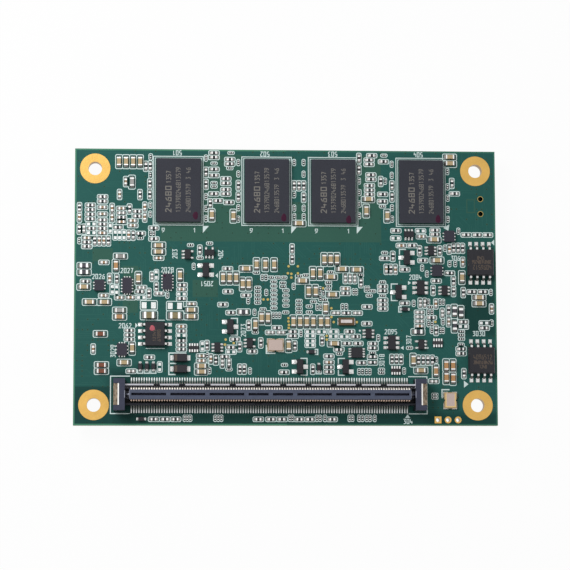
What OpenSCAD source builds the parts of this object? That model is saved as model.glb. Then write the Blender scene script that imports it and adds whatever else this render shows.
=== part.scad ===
// Computer-on-module, 84 x 55 mm, seen with its board-to-board connector upwards.
// The module lies on the tall coils of its processor side.
// Field positions are millimetres from the front left corner of the board.

/* [Board] */
// Width of the circuit board, left to right
board_w = 84; // [84:1:125]
// Depth of the circuit board, front to back
board_d = 55; // [55:1:95]
// Thickness of the circuit board
board_t = 2.0; // [1.6:0.1:2.4]
// Thickness of the copper lands with their finish
land_t = 0.05; // [0.03:0.01:0.08]

/* [Mounting holes] */
// Clear diameter of a mounting hole, inside its plating
mount_hole_d = 2.7; // [2.2:0.1:3.2]
// Diameter of the gold land around a mounting hole
mount_land_d = 6.0; // [4.6:0.1:6.6]
// Distance of the mounting hole centres from the board edges
mount_inset = 4.0; // [3.6:0.1:4.2]
// Wall of the plating inside the holes
plating_t = 0.1; // [0.05:0.01:0.15]

/* [Header holes] */
// Clear diameter of a header hole
header_hole_d = 0.8; // [0.6:0.05:1]
// Width of a header land
header_land_d = 1.35; // [1.25:0.05:1.6]
// Pitch of the three header holes
header_pitch = 2.0; // [1.8:0.05:2.1]
// Clear diameter of the two spare holes, which end inside the board
spare_hole_d = 0.95; // [0.7:0.05:1.1]

/* [Board-to-board connector] */
// Contacts in each of the two rows
contact_count = 110; // [60:10:110]
// Pitch of the contacts
contact_pitch = 0.5; // [0.4:0.02:0.5]
// Width of one contact
contact_w = 0.24; // [0.16:0.02:0.3]
// Height of the connector above the board
connector_h = 4.2; // [3.8:0.1:4.8]
// Depth of the connector across its two long walls
housing_d = 4.1; // [3.9:0.1:4.6]
// Depth of the end blocks
end_block_d = 6.2; // [5.6:0.1:6.4]
// Length of each end block
end_block_w = 2.25; // [1.9:0.05:2.6]
// Width of the tongue that carries the contacts
tongue_d = 2.1; // [1.9:0.05:2.2]

/* [Memory chips] */
// Width of a memory chip
memory_w = 8.8; // [8:0.1:9.2]
// Depth of a memory chip
memory_d = 12.7; // [11:0.1:13.2]
// Height of a memory chip above the board
memory_h = 1.2; // [1:0.05:1.4]

/* [Processor side] */
// Height of the coils, on which the module rests
coil_h = 3.0; // [2.4:0.1:4]
// Width and depth of a coil
coil_w = 5.2; // [4.5:0.1:5.6]
// Width of the processor package
processor_w = 25; // [22:0.5:26]
// Depth of the processor package
processor_d = 27; // [24:0.5:28]
// Height of the processor package with its die
processor_h = 1.5; // [1.3:0.05:1.8]

/* [Hidden] */
$fn = 48;

// Heights of the two board faces
under_z = coil_h;
top_z = coil_h + board_t;
// A cut starts and ends this far outside what it cuts
cut = 0.1;

// Two-terminal parts: length, width, height, end cap length, length over the solder
chip_0402 = [1.0, 0.5, 0.38, 0.25, 1.7];
chip_0201 = [0.6, 0.3, 0.3, 0.15, 0.96];
chip_0603 = [1.6, 0.8, 0.75, 0.22, 2.3];
bead_0603 = [1.6, 0.8, 0.8, 0.42, 2.3];
chip_0805 = [2.0, 1.25, 1.0, 0.45, 2.9];
// A body stands this far inside its end caps, and this far off the board
cap_step = 0.02;
// Solder climbs this share of an end cap, and all of it on parts lower than this height
solder_rise = 0.6;
low_part_h = 0.35;

// Gull-wing packages: width across the leads, length along them, height, span over the
// lead tips, lead width, lead places on the left side, lead places on the right side,
// land width, and how far a land reaches past the lead tip
sot23 = [1.3, 2.9, 1.0, 2.4, 0.45, [-0.95, 0.95], [0], 0.84, 0.4];
sot143 = [1.3, 2.9, 1.0, 2.4, 0.5, [-0.92, 0.92], [-0.92, 0.92], 0.84, 0.4];
sot23_6 = [1.6, 2.9, 1.1, 2.8, 0.4, [-0.95, 0, 0.95], [-0.95, 0, 0.95], 0.58, 0.2];
vssop_8 = [2.3, 2.1, 0.8, 3.1, 0.22, [-0.75, -0.25, 0.25, 0.75], [-0.75, -0.25, 0.25, 0.75],
    0.3, 0.15];
sc70_5 = [1.25, 2.0, 0.95, 2.1, 0.25, [-0.65, 0, 0.65], [-0.65, 0.65], 0.36, 0.18];
sc70_6 = [1.25, 2.0, 0.95, 2.1, 0.25, [-0.65, 0, 0.65], [-0.65, 0, 0.65], 0.36, 0.18];
so8_places = [-1.905, -0.635, 0.635, 1.905];
so8 = [3.9, 4.9, 1.5, 6.0, 0.42, so8_places, so8_places, 0.68, 0.32];
so8_wide = [5.3, 5.3, 1.9, 7.9, 0.42, so8_places, so8_places, 0.68, 0.32];
lead_t = 0.15;
foot_len = 0.4;
// Solder that climbs a lead tip is a little wider than the lead, and a little lower
toe_solder_over = 0.05;
toe_solder_rise = 0.12;
// Moulded bodies: flat band and draft of the sides, as shares of the height
band_low = 0.42;
band_high = 0.58;
draft_part = 0.12;
// Terminal tabs: sheet, and how far the solder runs out at their foot
tab_t = 0.12;
tab_toe = 0.5;

// Diodes: length, width, height, lead width, lead reach
large_diode = [2.7, 1.6, 1.1, 0.75, 0.5];
small_diode = [1.2, 0.8, 0.6, 0.3, 0.25];
diode_lead_t = 0.09;
// Leadless chips: height, and the solder that stands out beside the pads
leadless_h = 0.8;
pad_out = 0.28;
pad_w = 0.24;
pad_h = 0.15;
pad_pitch = 0.5;
// Crystals
crystal_w = 3.2;
crystal_d = 2.5;
crystal_case_h = 0.55;
crystal_lid_t = 0.15;
lid_inset = 0.2;
watch_w = 3.2;
watch_d = 1.5;
watch_h = 0.6;
watch_lid_w = 2.25;
watch_lid_d = 0.62;
watch_lid_t = 0.1;
// Resistor arrays
array_pitch = 0.5;
array_h = 0.4;
array_body_d = 0.7;
array_end_d = 0.5;
array_end_w = 0.28;
test_point_d = 0.5;
// Pairs of lands: length over both, width, gap between them
small_lands = [1.7, 0.55, 0.5];
large_lands = [2.8, 1.25, 0.9];
// Ring round a spare hole, and laminate left under the hole
spare_ring = 0.12;
spare_floor = 0.3;
watch_crystal_lands = [3.5, 1.3, 2.3];
large_diode_lands = [3.95, 1.0, 2.2];
small_diode_lands = [1.9, 0.5, 0.95];
// Parts of the processor side
die_w = 9.4;
die_d = 10.4;
die_h = 0.4;
processor_ball_d = 0.5;
storage_size = [11.5, 13, 1.0];
underside_chip_h = 0.85;
bulk = [6.6, 3.2, 1.8];

// Places of the single big parts
connector_at = [38.66, 5.9];
memory_at = [[20.5, 46.65], [38.1, 46.65], [51.4, 46.65], [69.0, 46.65]];
flash_at = [[80.72, 32.4, 90], [80.7, 12.85, 90]];
firmware_at = [16.0, 17.95];
crystals_at = [[39.8, 15.85, 0], [74.5, 4.95, 90]];
watch_crystal_at = [53.9, 20.6];
header_at = [72.05, 1.1];
spare_holes_at = [[81.0, 45.35], [81.0, 42.35]];
test_points_at = [
    [29.95, 16.95], [29.8, 15.95], [31.55, 16.25], [37.45, 24.95], [38.3, 24.95],
    [42.45, 31.6], [44.3, 31.6], [42.3, 30.2], [43.0, 30.1], [44.3, 30.2], [43.0, 29.35],
    [49.3, 27.25], [42.4, 21.25], [42.4, 20.6], [42.5, 19.9], [42.45, 19.3], [50.95, 23.25],
    [50.95, 21.5], [51.4, 20.5], [56.0, 20.5], [50.0, 17.75], [50.0, 17.0], [71.7, 20.6]];

// Gull-wing chips: package, place, turn
transistors_at = [
    [sot23, 30.85, 19.5, 0], [sot23, 44.65, 11.6, 0], [sot23, 53.7, 11.6, 180],
    [sot23, 66.05, 33.45, 180], [sot23, 64.35, 26.5, 180], [sot143, 26.0, 30.75, 0]];
regulators_at = [
    [sot23_6, 68.75, 27.4, 0], [sot23_6, 62.9, 16.4, 0], [vssop_8, 55.95, 14.4, 0]];
gates_at = [
    [sc70_5, 22.4, 33.85, 0], [sc70_5, 26.7, 34.2, 90], [sc70_6, 66.5, 38.1, 90],
    [sc70_6, 70.9, 34.85, 0], [sc70_6, 28.3, 15.35, 0], [sc70_5, 34.7, 16.25, 0],
    [sc70_6, 58.3, 18.2, 0], [sc70_5, 68.8, 16.05, 180], [sc70_6, 73.55, 26.85, 0]];
// Leadless chips: place, width, depth, pads on the left and right, pads on the far side
leadless_at = [
    [4.97, 27.6, 1.9, 2.1, 3, 0], [10.45, 27.6, 1.85, 3.1, 5, 3], [18.4, 28.4, 1.85, 3.1, 5, 4],
    [9.5, 14.9, 2.0, 2.4, 3, 3], [74.6, 37.75, 2.0, 2.2, 3, 0], [72.1, 30.8, 2.0, 2.2, 3, 0]];
arrays_at = [[23.6, 15.3], [72.1, 16.4], [63.7, 10.9]];
large_diodes_at = [[21.0, 13.3], [21.0, 11.1]];
small_diodes_along = [[13.1, 11.6], [14.4, 11.6], [15.7, 11.6], [48.4, 11.4]];
small_diodes_across = [[46.95, 14.55], [65.6, 23.1], [13.35, 1.25]];

// A row of like places, n of them from a first place, each a step further
function row(x, y, n, dx, dy) = [for (i = [0 : n - 1]) [x + i * dx, y + i * dy]];

// Resistors that lie left to right
resistors_across = [
    // left cluster
    [5.5, 45.3], [5.5, 44.4], [3.1, 43.6], [3.1, 42.7], [3.1, 41.75], [3.1, 40.85], [12.4, 42.4],
    [12.4, 41.45], [9.25, 41.2], [3.35, 38.95], [5.5, 40.65], [5.5, 39.8], [5.5, 38.95],
    [8.55, 39.2], [13.0, 38.0], [15.65, 39.1], [15.7, 36.95], [2.45, 36.2], [2.45, 35.35],
    // between the first and second memory chips
    [27.6, 54.3], [27.6, 53.4], [27.6, 51.0], [27.6, 49.75], [27.6, 46.05], [28.4, 44.65],
    [30.6, 44.35], [29.95, 49.1], [29.95, 48.2], [29.95, 46.9], [29.95, 46.05], [30.75, 53.0],
    [30.75, 52.1],
    // between the third and fourth memory chips
    [59.2, 54.0], [58.65, 53.1], [58.65, 52.25], [61.55, 52.8], [59.0, 50.1], [59.0, 49.2],
    [58.7, 47.9], [58.7, 47.0], [58.7, 46.15], [61.35, 46.2], [61.3, 44.75], [75.8, 46.4],
    // left half, around the leadless chips and the firmware chip
    [2.25, 28.4], [13.0, 26.4], [21.3, 27.75], [21.25, 25.05], [21.2, 18.6], [21.2, 16.7],
    [21.2, 15.85], [21.2, 15.0], each row(10.95, 18.7, 3, 0, -0.9), [14.9, 13.4],
    // middle
    [30.3, 31.05], [30.4, 26.5], [29.4, 23.9], [31.0, 22.3], [34.0, 25.75], [40.1, 19.3],
    [31.8, 17.0], [31.0, 15.4], [35.2, 14.6], [29.7, 13.55], [41.5, 10.5], [53.75, 26.25],
    [58.05, 23.55], [53.9, 22.3], [58.0, 20.2], [43.25, 18.55], [43.25, 17.7], [54.55, 18.6],
    [55.7, 17.6], [54.0, 16.25], [56.2, 16.25], [52.4, 15.0], [50.4, 13.7], [50.4, 11.5],
    [50.4, 10.6], [56.9, 12.4], [59.2, 16.2], [59.1, 15.35], [59.1, 13.6], [59.1, 12.5],
    [61.2, 27.6], [61.2, 26.75], each row(61.2, 24.85, 3, 0, -0.83),
    // right side
    [61.65, 33.3], [63.95, 38.85], [71.8, 39.0], [71.8, 38.15], [67.15, 35.9], [78.05, 38.1],
    [80.3, 38.1], [82.4, 38.1], [69.3, 32.9], [65.65, 31.05], [74.65, 30.4], [71.95, 28.8],
    [79.1, 26.65], [81.3, 26.65], [65.6, 24.3], [70.9, 21.45], [77.3, 20.6], [76.8, 15.2],
    [76.8, 14.3], [81.5, 19.4],
    // front edge
    [15.8, 1.2], [18.05, 1.2], [20.1, 1.2], [36.4, 1.2], [38.9, 1.2], [41.05, 1.2],
    [44.5, 1.2], [46.6, 1.2], [51.0, 1.2]];

// Resistors that lie front to back
resistors_along = [
    [14.05, 51.5], [14.9, 51.5], [14.85, 48.0], [14.85, 45.85], [12.9, 45.8], [0.95, 43.1],
    [10.85, 42.9], [0.95, 38.8], [4.0, 36.5], [6.7, 36.5], [11.6, 37.65],
    [26.0, 50.45], [26.0, 47.95], [26.85, 44.1], [32.45, 47.8], [32.45, 45.45],
    each row(43.6, 47.8, 2, 0.95, 0), [45.5, 47.8], [45.5, 45.45],
    [56.6, 53.45], [56.6, 51.1], [60.95, 48.8], [63.2, 47.95], [63.2, 45.65], [75.3, 48.5],
    [24.8, 34.75], [8.4, 28.9], [14.75, 26.05], [16.2, 27.35], [26.25, 15.75], [28.0, 12.9],
    [32.75, 11.1], [33.6, 11.1], [32.7, 15.55], [36.9, 16.3], [34.5, 19.8], [43.65, 15.75],
    [47.2, 11.1], [49.05, 16.8], [43.15, 35.1], [43.15, 33.0], [56.85, 28.4],
    [63.3, 33.7], [62.85, 31.1], [68.65, 34.85], [72.7, 34.85], each row(75.5, 35.4, 3, 0.9, 0),
    [75.4, 28.75], [75.4, 26.7], [71.3, 26.9], [77.35, 26.5], [71.8, 18.9], [74.35, 22.95],
    each row(62.95, 13.1, 3, 0.9, 0), each row(68.25, 12.95, 4, 0.92, 0), [77.3, 10.3]];

// Small capacitors with a tan body
capacitors_across = [
    [5.5, 43.2], [5.5, 41.85], [11.5, 40.55], [11.5, 39.6], [5.5, 38.05], [9.25, 43.0],
    [9.3, 40.3], [2.45, 37.05], [5.85, 32.2], [16.65, 33.1], [9.0, 25.2], [11.15, 25.25],
    [5.85, 25.6], [21.2, 26.9], [23.2, 24.0], [21.15, 19.5], [25.2, 13.7], [25.2, 12.75],
    [50.4, 12.5], [53.8, 27.15], [69.05, 37.7], [65.0, 35.85], [68.55, 19.75]];
capacitors_along = [
    [10.05, 48.4], [8.85, 45.8], [7.4, 43.0], [0.95, 41.2], [7.4, 41.2], [13.85, 43.3],
    [13.85, 41.3], [4.9, 36.5], [5.8, 36.5], [10.7, 37.7], [7.0, 29.0], [3.85, 15.0],
    [27.0, 13.1], [61.95, 31.1], [63.75, 31.0], [74.65, 35.2], [77.3, 32.6], [71.8, 24.2],
    [74.35, 20.65], [83.0, 23.25]];
// Small capacitors with a pale body
pale_across = [
    [9.25, 42.1], [13.3, 27.2], [16.8, 26.05], [11.35, 10.65], [38.85, 18.4], [40.95, 18.4],
    [51.85, 22.3], [56.1, 22.3], each row(68.55, 22.5, 3, 0, -0.9), [71.3, 8.75]];
pale_along = [
    [1.85, 38.85], [15.35, 29.4], [29.3, 12.3], [30.6, 12.35], each row(53.75, 29.2, 3, 0.93, 0),
    [68.7, 24.35], [69.6, 24.35], [73.1, 22.35]];
// Medium parts with a pale body
pale_medium_across = [[9.1, 33.4], [9.0, 22.65]];
pale_medium_along = [[11.3, 48.3]];

// Medium capacitors with a tan body
medium_across = [
    [44.55, 40.2], [58.45, 45.15], [74.9, 53.8], [74.9, 52.5], [16.65, 35.6], [16.65, 34.35],
    [1.95, 27.3], [3.05, 24.3], [6.0, 24.3], [8.95, 21.4], [23.1, 22.8], [23.1, 21.5],
    [9.95, 12.35], [25.2, 11.7], [25.2, 10.55],
    [34.0, 31.05], [45.2, 28.7], [50.8, 29.5], [53.1, 31.05], [56.0, 30.95], [51.15, 25.95],
    [51.5, 16.2], [71.6, 37.1], [72.15, 32.9], [80.5, 25.5], [80.5, 24.3], [68.7, 10.9]];
medium_along = [
    each row(8.7, 52.4, 4, 1.4, 0), [27.15, 41.8], [31.45, 41.6], [58.0, 42.8], [62.2, 41.8],
    [8.2, 31.55], [12.65, 29.05], [20.9, 29.65], [11.5, 15.2], each row(29.4, 29.2, 3, 1.3, 0),
    [33.3, 28.0], [34.5, 28.0], each row(36.05, 31.9, 3, 1.75, 0), [37.05, 21.3], [38.3, 21.3],
    [35.8, 19.9], [42.4, 15.8], each row(49.55, 33.0, 3, 1.25, 0), [47.25, 30.2], [48.7, 30.2],
    [46.4, 26.6], [47.8, 26.6], [49.75, 23.25], each row(43.35, 20.5, 4, 1.32, 0),
    [48.8, 20.5], [50.1, 20.5], [77.1, 29.5], [67.2, 12.95], [71.65, 10.75], [73.75, 11.85],
    [75.1, 11.85], [73.75, 9.5], [75.1, 9.35]];
// Medium capacitors with a red-brown body, large capacitors, and ferrites
brown_across = [[5.25, 18.0], [5.5, 11.85], [5.5, 10.65]];
large_across = [[14.8, 21.7], [19.95, 21.65]];
ferrites_across = [[1.95, 31.5], [1.95, 30.2], [33.45, 22.4], [68.2, 18.6]];
ferrites_along = [[75.5, 22.75], [75.5, 19.8], [76.8, 22.5]];

// Tiny parts
tiny_across = [
    [27.6, 52.2], [27.6, 48.25], [27.6, 47.5], [31.0, 54.35], [30.75, 51.25], [61.65, 54.05],
    [61.3, 43.75], [13.0, 37.1], [22.95, 35.75], [24.85, 33.2], [26.75, 36.1], [36.0, 30.3],
    [39.0, 29.35], [40.3, 29.35], [41.5, 29.35], each row(39.5, 28.5, 7, 0, -0.87),
    [41.3, 28.3], [41.35, 27.55], each row(41.9, 26.75, 4, 0, -1), [41.85, 22.4],
    each row(36.3, 27.3, 5, 0, -0.75), [37.35, 23.0], [35.8, 18.4], [44.55, 29.65],
    [45.85, 29.8], each row(44.5, 24.7, 4, 0, -0.77), [50.8, 30.45], [50.4, 28.4],
    [50.3, 27.65], [50.3, 27.05], [49.55, 24.95], [47.4, 24.55], [46.55, 23.6], [46.55, 22.45],
    [56.8, 29.9], [59.2, 26.7], [58.5, 25.8], [61.2, 28.5], [61.2, 25.8], [61.65, 34.4],
    [59.1, 14.4], [52.5, 14.2], [60.85, 11.05], [60.85, 10.45], [30.6, 11.05], [41.6, 11.95],
    [70.7, 23.55], each row(76.9, 18.7, 3, 0, -0.75), [76.8, 16.1], [66.5, 15.4],
    [71.45, 6.1], [71.45, 5.5]];
tiny_along = [
    [14.95, 53.4], [14.95, 49.8], [14.95, 43.7], [14.95, 41.9], [0.95, 36.5], [26.0, 53.25],
    [26.0, 45.5], [26.0, 43.1], [26.0, 41.1], [32.45, 52.4], [32.45, 50.1], [32.45, 43.3],
    [32.45, 41.0], [43.6, 52.5], [45.5, 52.5], [45.5, 50.15], [43.6, 46.0], [43.6, 43.3],
    [45.5, 43.3], [43.6, 41.6], [45.5, 41.6], each row(56.6, 48.85, 4, 0, -2.33),
    [61.85, 48.85], [63.2, 52.3], [63.2, 50.05], [63.2, 43.5], [63.2, 41.2], [74.4, 50.9],
    [74.4, 47.8], [74.4, 45.5], [74.4, 43.2], [74.4, 41.2], [15.1, 38.05], [15.65, 38.05],
    [23.6, 31.5], [18.4, 25.75], [38.0, 26.35], [37.2, 29.35], [37.9, 29.35], [34.4, 24.7],
    [35.65, 22.4], each row(39.4, 21.8, 3, 0.6, 0), [43.45, 27.6], [48.75, 26.9],
    [49.35, 26.3], [48.75, 25.2], [48.15, 23.45], [48.8, 23.45], [55.4, 26.55], [55.9, 26.55],
    [57.85, 27.1], [58.35, 27.1], [53.15, 23.55], [53.9, 23.55], [60.25, 17.4], [44.85, 18.2],
    [26.3, 13.75], [26.75, 10.8], [34.75, 10.75], [76.5, 38.85], [73.75, 35.4], [69.15, 31.4],
    [70.1, 30.2], [74.65, 32.3], [75.8, 32.3], [82.9, 26.55], [67.4, 24.3], [70.3, 24.55],
    [70.3, 22.5], [71.0, 22.5], [72.7, 24.55], [73.3, 24.55], [70.3, 20.25], [71.0, 20.25],
    [73.2, 20.6], [70.95, 18.9], [72.7, 18.9], [73.2, 18.9], [83.0, 20.4], [71.8, 13.0],
    each row(56.4, 10.65, 2, 0.65, 0), each row(57.85, 10.65, 2, 0.65, 0), [65.35, 10.8],
    [21.9, 1.4], [22.4, 1.4], [23.0, 1.4], each row(27.9, 1.4, 3, 0.6, 0), [42.6, 1.4],
    [43.1, 1.4], [48.0, 1.4], [48.6, 1.4], [49.55, 1.4], [54.45, 1.4], [55.0, 1.4],
    [56.35, 1.4], [57.0, 1.4], [57.85, 1.4], [58.5, 1.4], [59.45, 1.4]];

// Lands without a part
bare_small_across = [
    [3.3, 39.85], [3.3, 38.1], [13.25, 25.25], [21.2, 25.95], [21.2, 17.75], [31.0, 14.5],
    [46.7, 18.55], [46.7, 17.75], [46.7, 16.7], [46.7, 15.9], [49.0, 18.55], [51.35, 18.6],
    [51.3, 17.65], [53.5, 17.6], [63.9, 37.35], [68.9, 38.85], [77.25, 19.7], [81.45, 20.4]];
bare_small_along = [
    [7.05, 39.0], [8.05, 37.7], [8.9, 37.7], [9.8, 37.7], [7.55, 26.85], [8.4, 26.8],
    [16.2, 29.8], [25.35, 15.6], [16.95, 11.5]];
bare_large_across = [[14.75, 23.7], [19.9, 23.6]];

// Parts of the processor side, as places seen from the connector side
processor_at = [42, 29];
coils_at = [[13, 45], [13, 38.5], [70, 46], [70, 10], [14, 10]];
storage_at = [67, 29];
underside_chips_at = [[16, 24, 7, 7], [66, 18, 5, 5], [24, 47, 5, 5]];
bulk_at = [[22, 38], [22, 33], [34, 10], [42, 10], [50, 10]];
underside_medium_across = [
    each row(33, 47, 8, 2.8, 0), each row(33, 49, 8, 2.8, 0), [59, 10], [59, 12], [5, 24], [5, 22]];
underside_small_along = [
    each row(30, 13.8, 14, 1.4, 0), each row(64, 39, 6, 1.4, 0), each row(10, 18.5, 8, 1.4, 0)];

// The places are given on a field of this width and depth, which fits itself to the board
field = [84, 55];
function spread_x(x) = (x / field[0] - 0.5) * board_w;
function spread_y(y) = (y / field[1] - 0.5) * board_d;

// Moves to a place in the field, on the connector side
module on_top(at) {
    translate([spread_x(at[0]), spread_y(at[1]), top_z]) children();
}

// Moves to a place in the field, on the processor side, with up turned down
module on_under(at) {
    translate([spread_x(at[0]), spread_y(at[1]), under_z]) mirror([0, 0, 1]) children();
}

// A box centred on its place, standing on z = 0 or at a given height
module block(size, z = 0) {
    translate([-size[0] / 2, -size[1] / 2, z]) cube(size);
}

// Lays a profile, drawn as across and up, along the left-right direction
module along_x(len) {
    translate([-len / 2, 0, 0]) rotate([90, 0, 90]) linear_extrude(len) children();
}

// Lays a profile, drawn as sideways and up, along the front-back direction
module along_y(len) {
    translate([0, len / 2, 0]) rotate([90, 0, 0]) linear_extrude(len) children();
}

// Copies a part to a list of places, lying left to right, and turned to the other list
module spread(across, along) {
    for (at = across) on_top(at) children();
    for (at = along) on_top(at) rotate(90) children();
}

module spread_under(across, along) {
    for (at = across) on_under(at) children();
    for (at = along) on_under(at) rotate(90) children();
}

// Body of a two-terminal part, between its end caps
module chip_body(size) {
    block([size[0] - 2 * size[3], size[1] - 2 * cap_step, size[2] - 2 * cap_step], cap_step);
}

// Profile of an end cap with its solder running out over the land
function cap_profile(inner, half, reach, high) = high < low_part_h
    ? [[inner, 0], [reach, 0], [half, high], [inner, high]]
    : [[inner, 0], [reach, 0], [half, high * solder_rise], [half, high], [inner, high]];

// The two end caps of a part
module chip_ends(size) {
    half = size[0] / 2;
    for (side = [0, 180]) rotate(side) along_y(size[1])
        polygon(cap_profile(half - size[3], half, size[4] / 2, size[2]));
}

// A pair of bare lands
module land_pair(size) {
    over = size[0];
    gap = size[2];
    for (side = [-1, 1]) translate([side * (over + gap) / 4, 0, 0])
        block([(over - gap) / 2, size[1], land_t]);
}

// A pair of terminals: a land under the body, and a tab with its solder up the end face
module terminal_pair(inner, half, width, rise) {
    for (side = [0, 180]) rotate(side) along_y(width)
        polygon([[inner, 0], [half + tab_toe, 0], [half + tab_t, rise], [half, rise],
            [half, land_t], [inner, land_t]]);
}

// Outline of a moulded body: drafted sides that meet a flat band at half height
function mould_profile(width, height, lift) =
    let (
        half = width / 2,
        in = half - height * draft_part,
        low = lift + height * band_low,
        high = lift + height * band_high,
        top = lift + height
    )
    [[-in, lift], [in, lift], [half, low], [half, high], [in, top], [-in, top],
        [-half, high], [-half, low]];

// Moulded body with drafted sides all round
module moulded(width, depth, height, lift) {
    intersection() {
        along_y(depth) polygon(mould_profile(width, height, lift));
        along_x(width) polygon(mould_profile(depth, height, lift));
    }
}

// Gap under a gull-wing body, and the height of the body itself
gull_lift = land_t + lead_t / 2;
function gull_h(kind) = kind[2] - gull_lift;

module gull_body(kind) {
    moulded(kind[0], kind[1], gull_h(kind), gull_lift);
}

// One lead on the right: out of the body's band, down, and flat on its land.
// Its sheet is never thicker than the band.
module gull_lead(kind) {
    root = kind[0] / 2;
    tip = kind[3] / 2;
    heel = tip - foot_len;
    t = min(lead_t, (band_high - band_low) * gull_h(kind));
    mid = gull_lift + gull_h(kind) / 2;
    knee = root + (heel - root) * 0.3 + t / 2;
    along_y(kind[4])
        polygon([[root, mid - t / 2], [knee - t / 2, mid - t / 2], [heel, land_t], [tip, land_t],
            [tip, land_t + t], [heel + t / 2, land_t + t], [knee + t / 2, mid + t / 2],
            [root, mid + t / 2]]);
}

// All the leads of a package
module gull_leads(kind) {
    for (y = kind[6]) translate([0, y, 0]) gull_lead(kind);
    for (y = kind[5]) translate([0, y, 0]) rotate(180) gull_lead(kind);
}

// The lands under the leads: wider than a lead, and reaching past its tip
module gull_lands(kind) {
    for (y = kind[6]) translate([0, y, 0]) gull_land(kind);
    for (y = kind[5]) translate([0, y, 0]) rotate(180) gull_land(kind);
}

// One land on the right, with a wedge of solder against the tip of the lead
module gull_land(kind) {
    tip = kind[3] / 2;
    reach = tip + kind[8];
    inner = tip - foot_len - 0.1;
    translate([(reach + inner) / 2, 0, 0]) block([reach - inner, kind[7], land_t]);
    along_y(kind[4] + 2 * toe_solder_over)
        polygon([[tip, 0], [reach, 0], [reach, land_t], [tip, land_t + toe_solder_rise]]);
}

// Centres of the four mounting holes, from the middle of the board
function mount_places() = [for (x = [-1, 1], y = [-1, 1])
    [x * (board_w / 2 - mount_inset), y * (board_d / 2 - mount_inset)]];

// Header hole i, from the field place of the first one
module header_hole(i) {
    on_top(header_at) translate([i * header_pitch, 0, -board_t]) children();
}

module circuit_board() color([0.05, 0.30, 0.24]) difference() {
    block([board_w, board_d, board_t], under_z);
    for (at = mount_places()) translate([at[0], at[1], under_z - cut])
        cylinder(d = mount_hole_d + 2 * plating_t, h = board_t + 2 * cut);
    for (i = [0 : 2]) header_hole(i) translate([0, 0, -cut])
        cylinder(d = header_hole_d + 2 * plating_t, h = board_t + 2 * cut);
    for (at = spare_holes_at) on_top(at) translate([0, 0, spare_floor - board_t])
        cylinder(d = spare_hole_d + 2 * plating_t, h = board_t);
}

// A plated hole: a barrel with a round land on both faces of the board
module plated_hole(hole_d, land_d) {
    inner = hole_d / 2;
    outer = inner + plating_t;
    land = land_d / 2;
    rotate_extrude() polygon([[inner, -land_t], [land, -land_t], [land, 0], [outer, 0],
        [outer, board_t], [land, board_t], [land, board_t + land_t], [inner, board_t + land_t]]);
}

module mounting_hole_plating() color("goldenrod")
    for (at = mount_places()) translate([at[0], at[1], under_z])
        plated_hole(mount_hole_d, mount_land_d);

// The first header hole has square lands, and the other holes have round ones
module plated_holes() color("goldenrod") {
    header_hole(0) difference() {
        union() {
            translate([0, 0, -land_t])
                cylinder(d = header_hole_d + 2 * plating_t, h = board_t + 2 * land_t);
            block([header_land_d, header_land_d, land_t], board_t);
            block([header_land_d, header_land_d, land_t], -land_t);
        }
        translate([0, 0, -cut]) cylinder(d = header_hole_d, h = board_t + 2 * cut);
    }
    for (i = [1, 2]) header_hole(i) plated_hole(header_hole_d, header_land_d);
    for (at = spare_holes_at) on_top(at) plated_pit();
}

// A plated pit: a barrel that stands on the laminate, with a thin ring on top
module plated_pit() {
    inner = spare_hole_d / 2;
    outer = inner + plating_t;
    ring = inner + spare_ring;
    rotate_extrude() polygon([[inner, spare_floor - board_t], [outer, spare_floor - board_t],
        [outer, 0], [ring, 0], [ring, land_t], [inner, land_t]]);
}

module test_points() color("gold") for (at = test_points_at) on_top(at)
    cylinder(d = test_point_d, h = land_t);

module bare_lands() color("gainsboro") {
    spread(bare_small_across, bare_small_along) land_pair(small_lands);
    spread(bare_large_across, []) land_pair(large_lands);
}

module chip_lands() color("silver") {
    for (c = concat(transistors_at, regulators_at, gates_at))
        on_top([c[1], c[2]]) rotate(c[3]) gull_lands(c[0]);
    for (c = flash_at) on_top(c) rotate(c[2]) gull_lands(so8_wide);
    on_top(firmware_at) gull_lands(so8);
    for (c = crystals_at) on_top(c) rotate(c[2]) crystal_lands();
    on_top(watch_crystal_at) land_pair(watch_crystal_lands);
    spread(large_diodes_at, []) land_pair(large_diode_lands);
    spread(small_diodes_across, small_diodes_along) land_pair(small_diode_lands);
}

// Board-to-board connector: a plug housing with a slotted tongue between two low walls
contact_span = (contact_count - 1) * contact_pitch;
// The tongue, the end floors and the housing pass the last contact by these lengths
tongue_over = 0.4;
floor_over = 0.25;
housing_over = 3.5;
tongue_len = contact_span + 2 * tongue_over;
housing_len = contact_span + 2 * housing_over;
block_x = housing_len / 2 - end_block_w;
// Height under the walls and the tongue, above the contact feet
float_z = 0.55;
floor_h = 0.9;
tongue_top = connector_h - 0.2;
tongue_edge = 0.12;
wall_top = connector_h - 0.7;
wall_t = 0.3;
wall_base_h = 1.5;
notch_w = 1.25;
notch_deep = 0.5;
notch_count = 10;
// Contacts: sheet at the feet, leg beside the tongue, and how far they stand out of the walls
contact_t = 0.18;
leg_t = 0.3;
leg_gap = 0.1;
run_z = 0.3;
tip_z = tongue_top - 0.25;
foot_out = 1.42;
heel_out = 0.85;
rise_out = 0.45;
// Hold-down clips: sheet, width of the top strip, depth, play in the end block, how far the
// strip lies below the block, and width of its raised rim
clip_t = 0.25;
clip_w = 1.1;
clip_d = 4.2;
clip_play = 0.05;
clip_drop = 0.12;
clip_rim = 0.24;
// The tongue has long slots with two short ones in the middle, as parts of its length
slot_parts = [2, 2, 2, 1.16, 1.16, 2, 2, 2];
slot_rib = contact_span * 0.0155;
slot_w = 0.4;
slot_mouth_w = 0.64;
slot_deep = 1.6;

// Sum of the first n values of a list
function sum_to(list, n) = n == 0 ? 0 : list[n - 1] + sum_to(list, n - 1);

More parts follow.
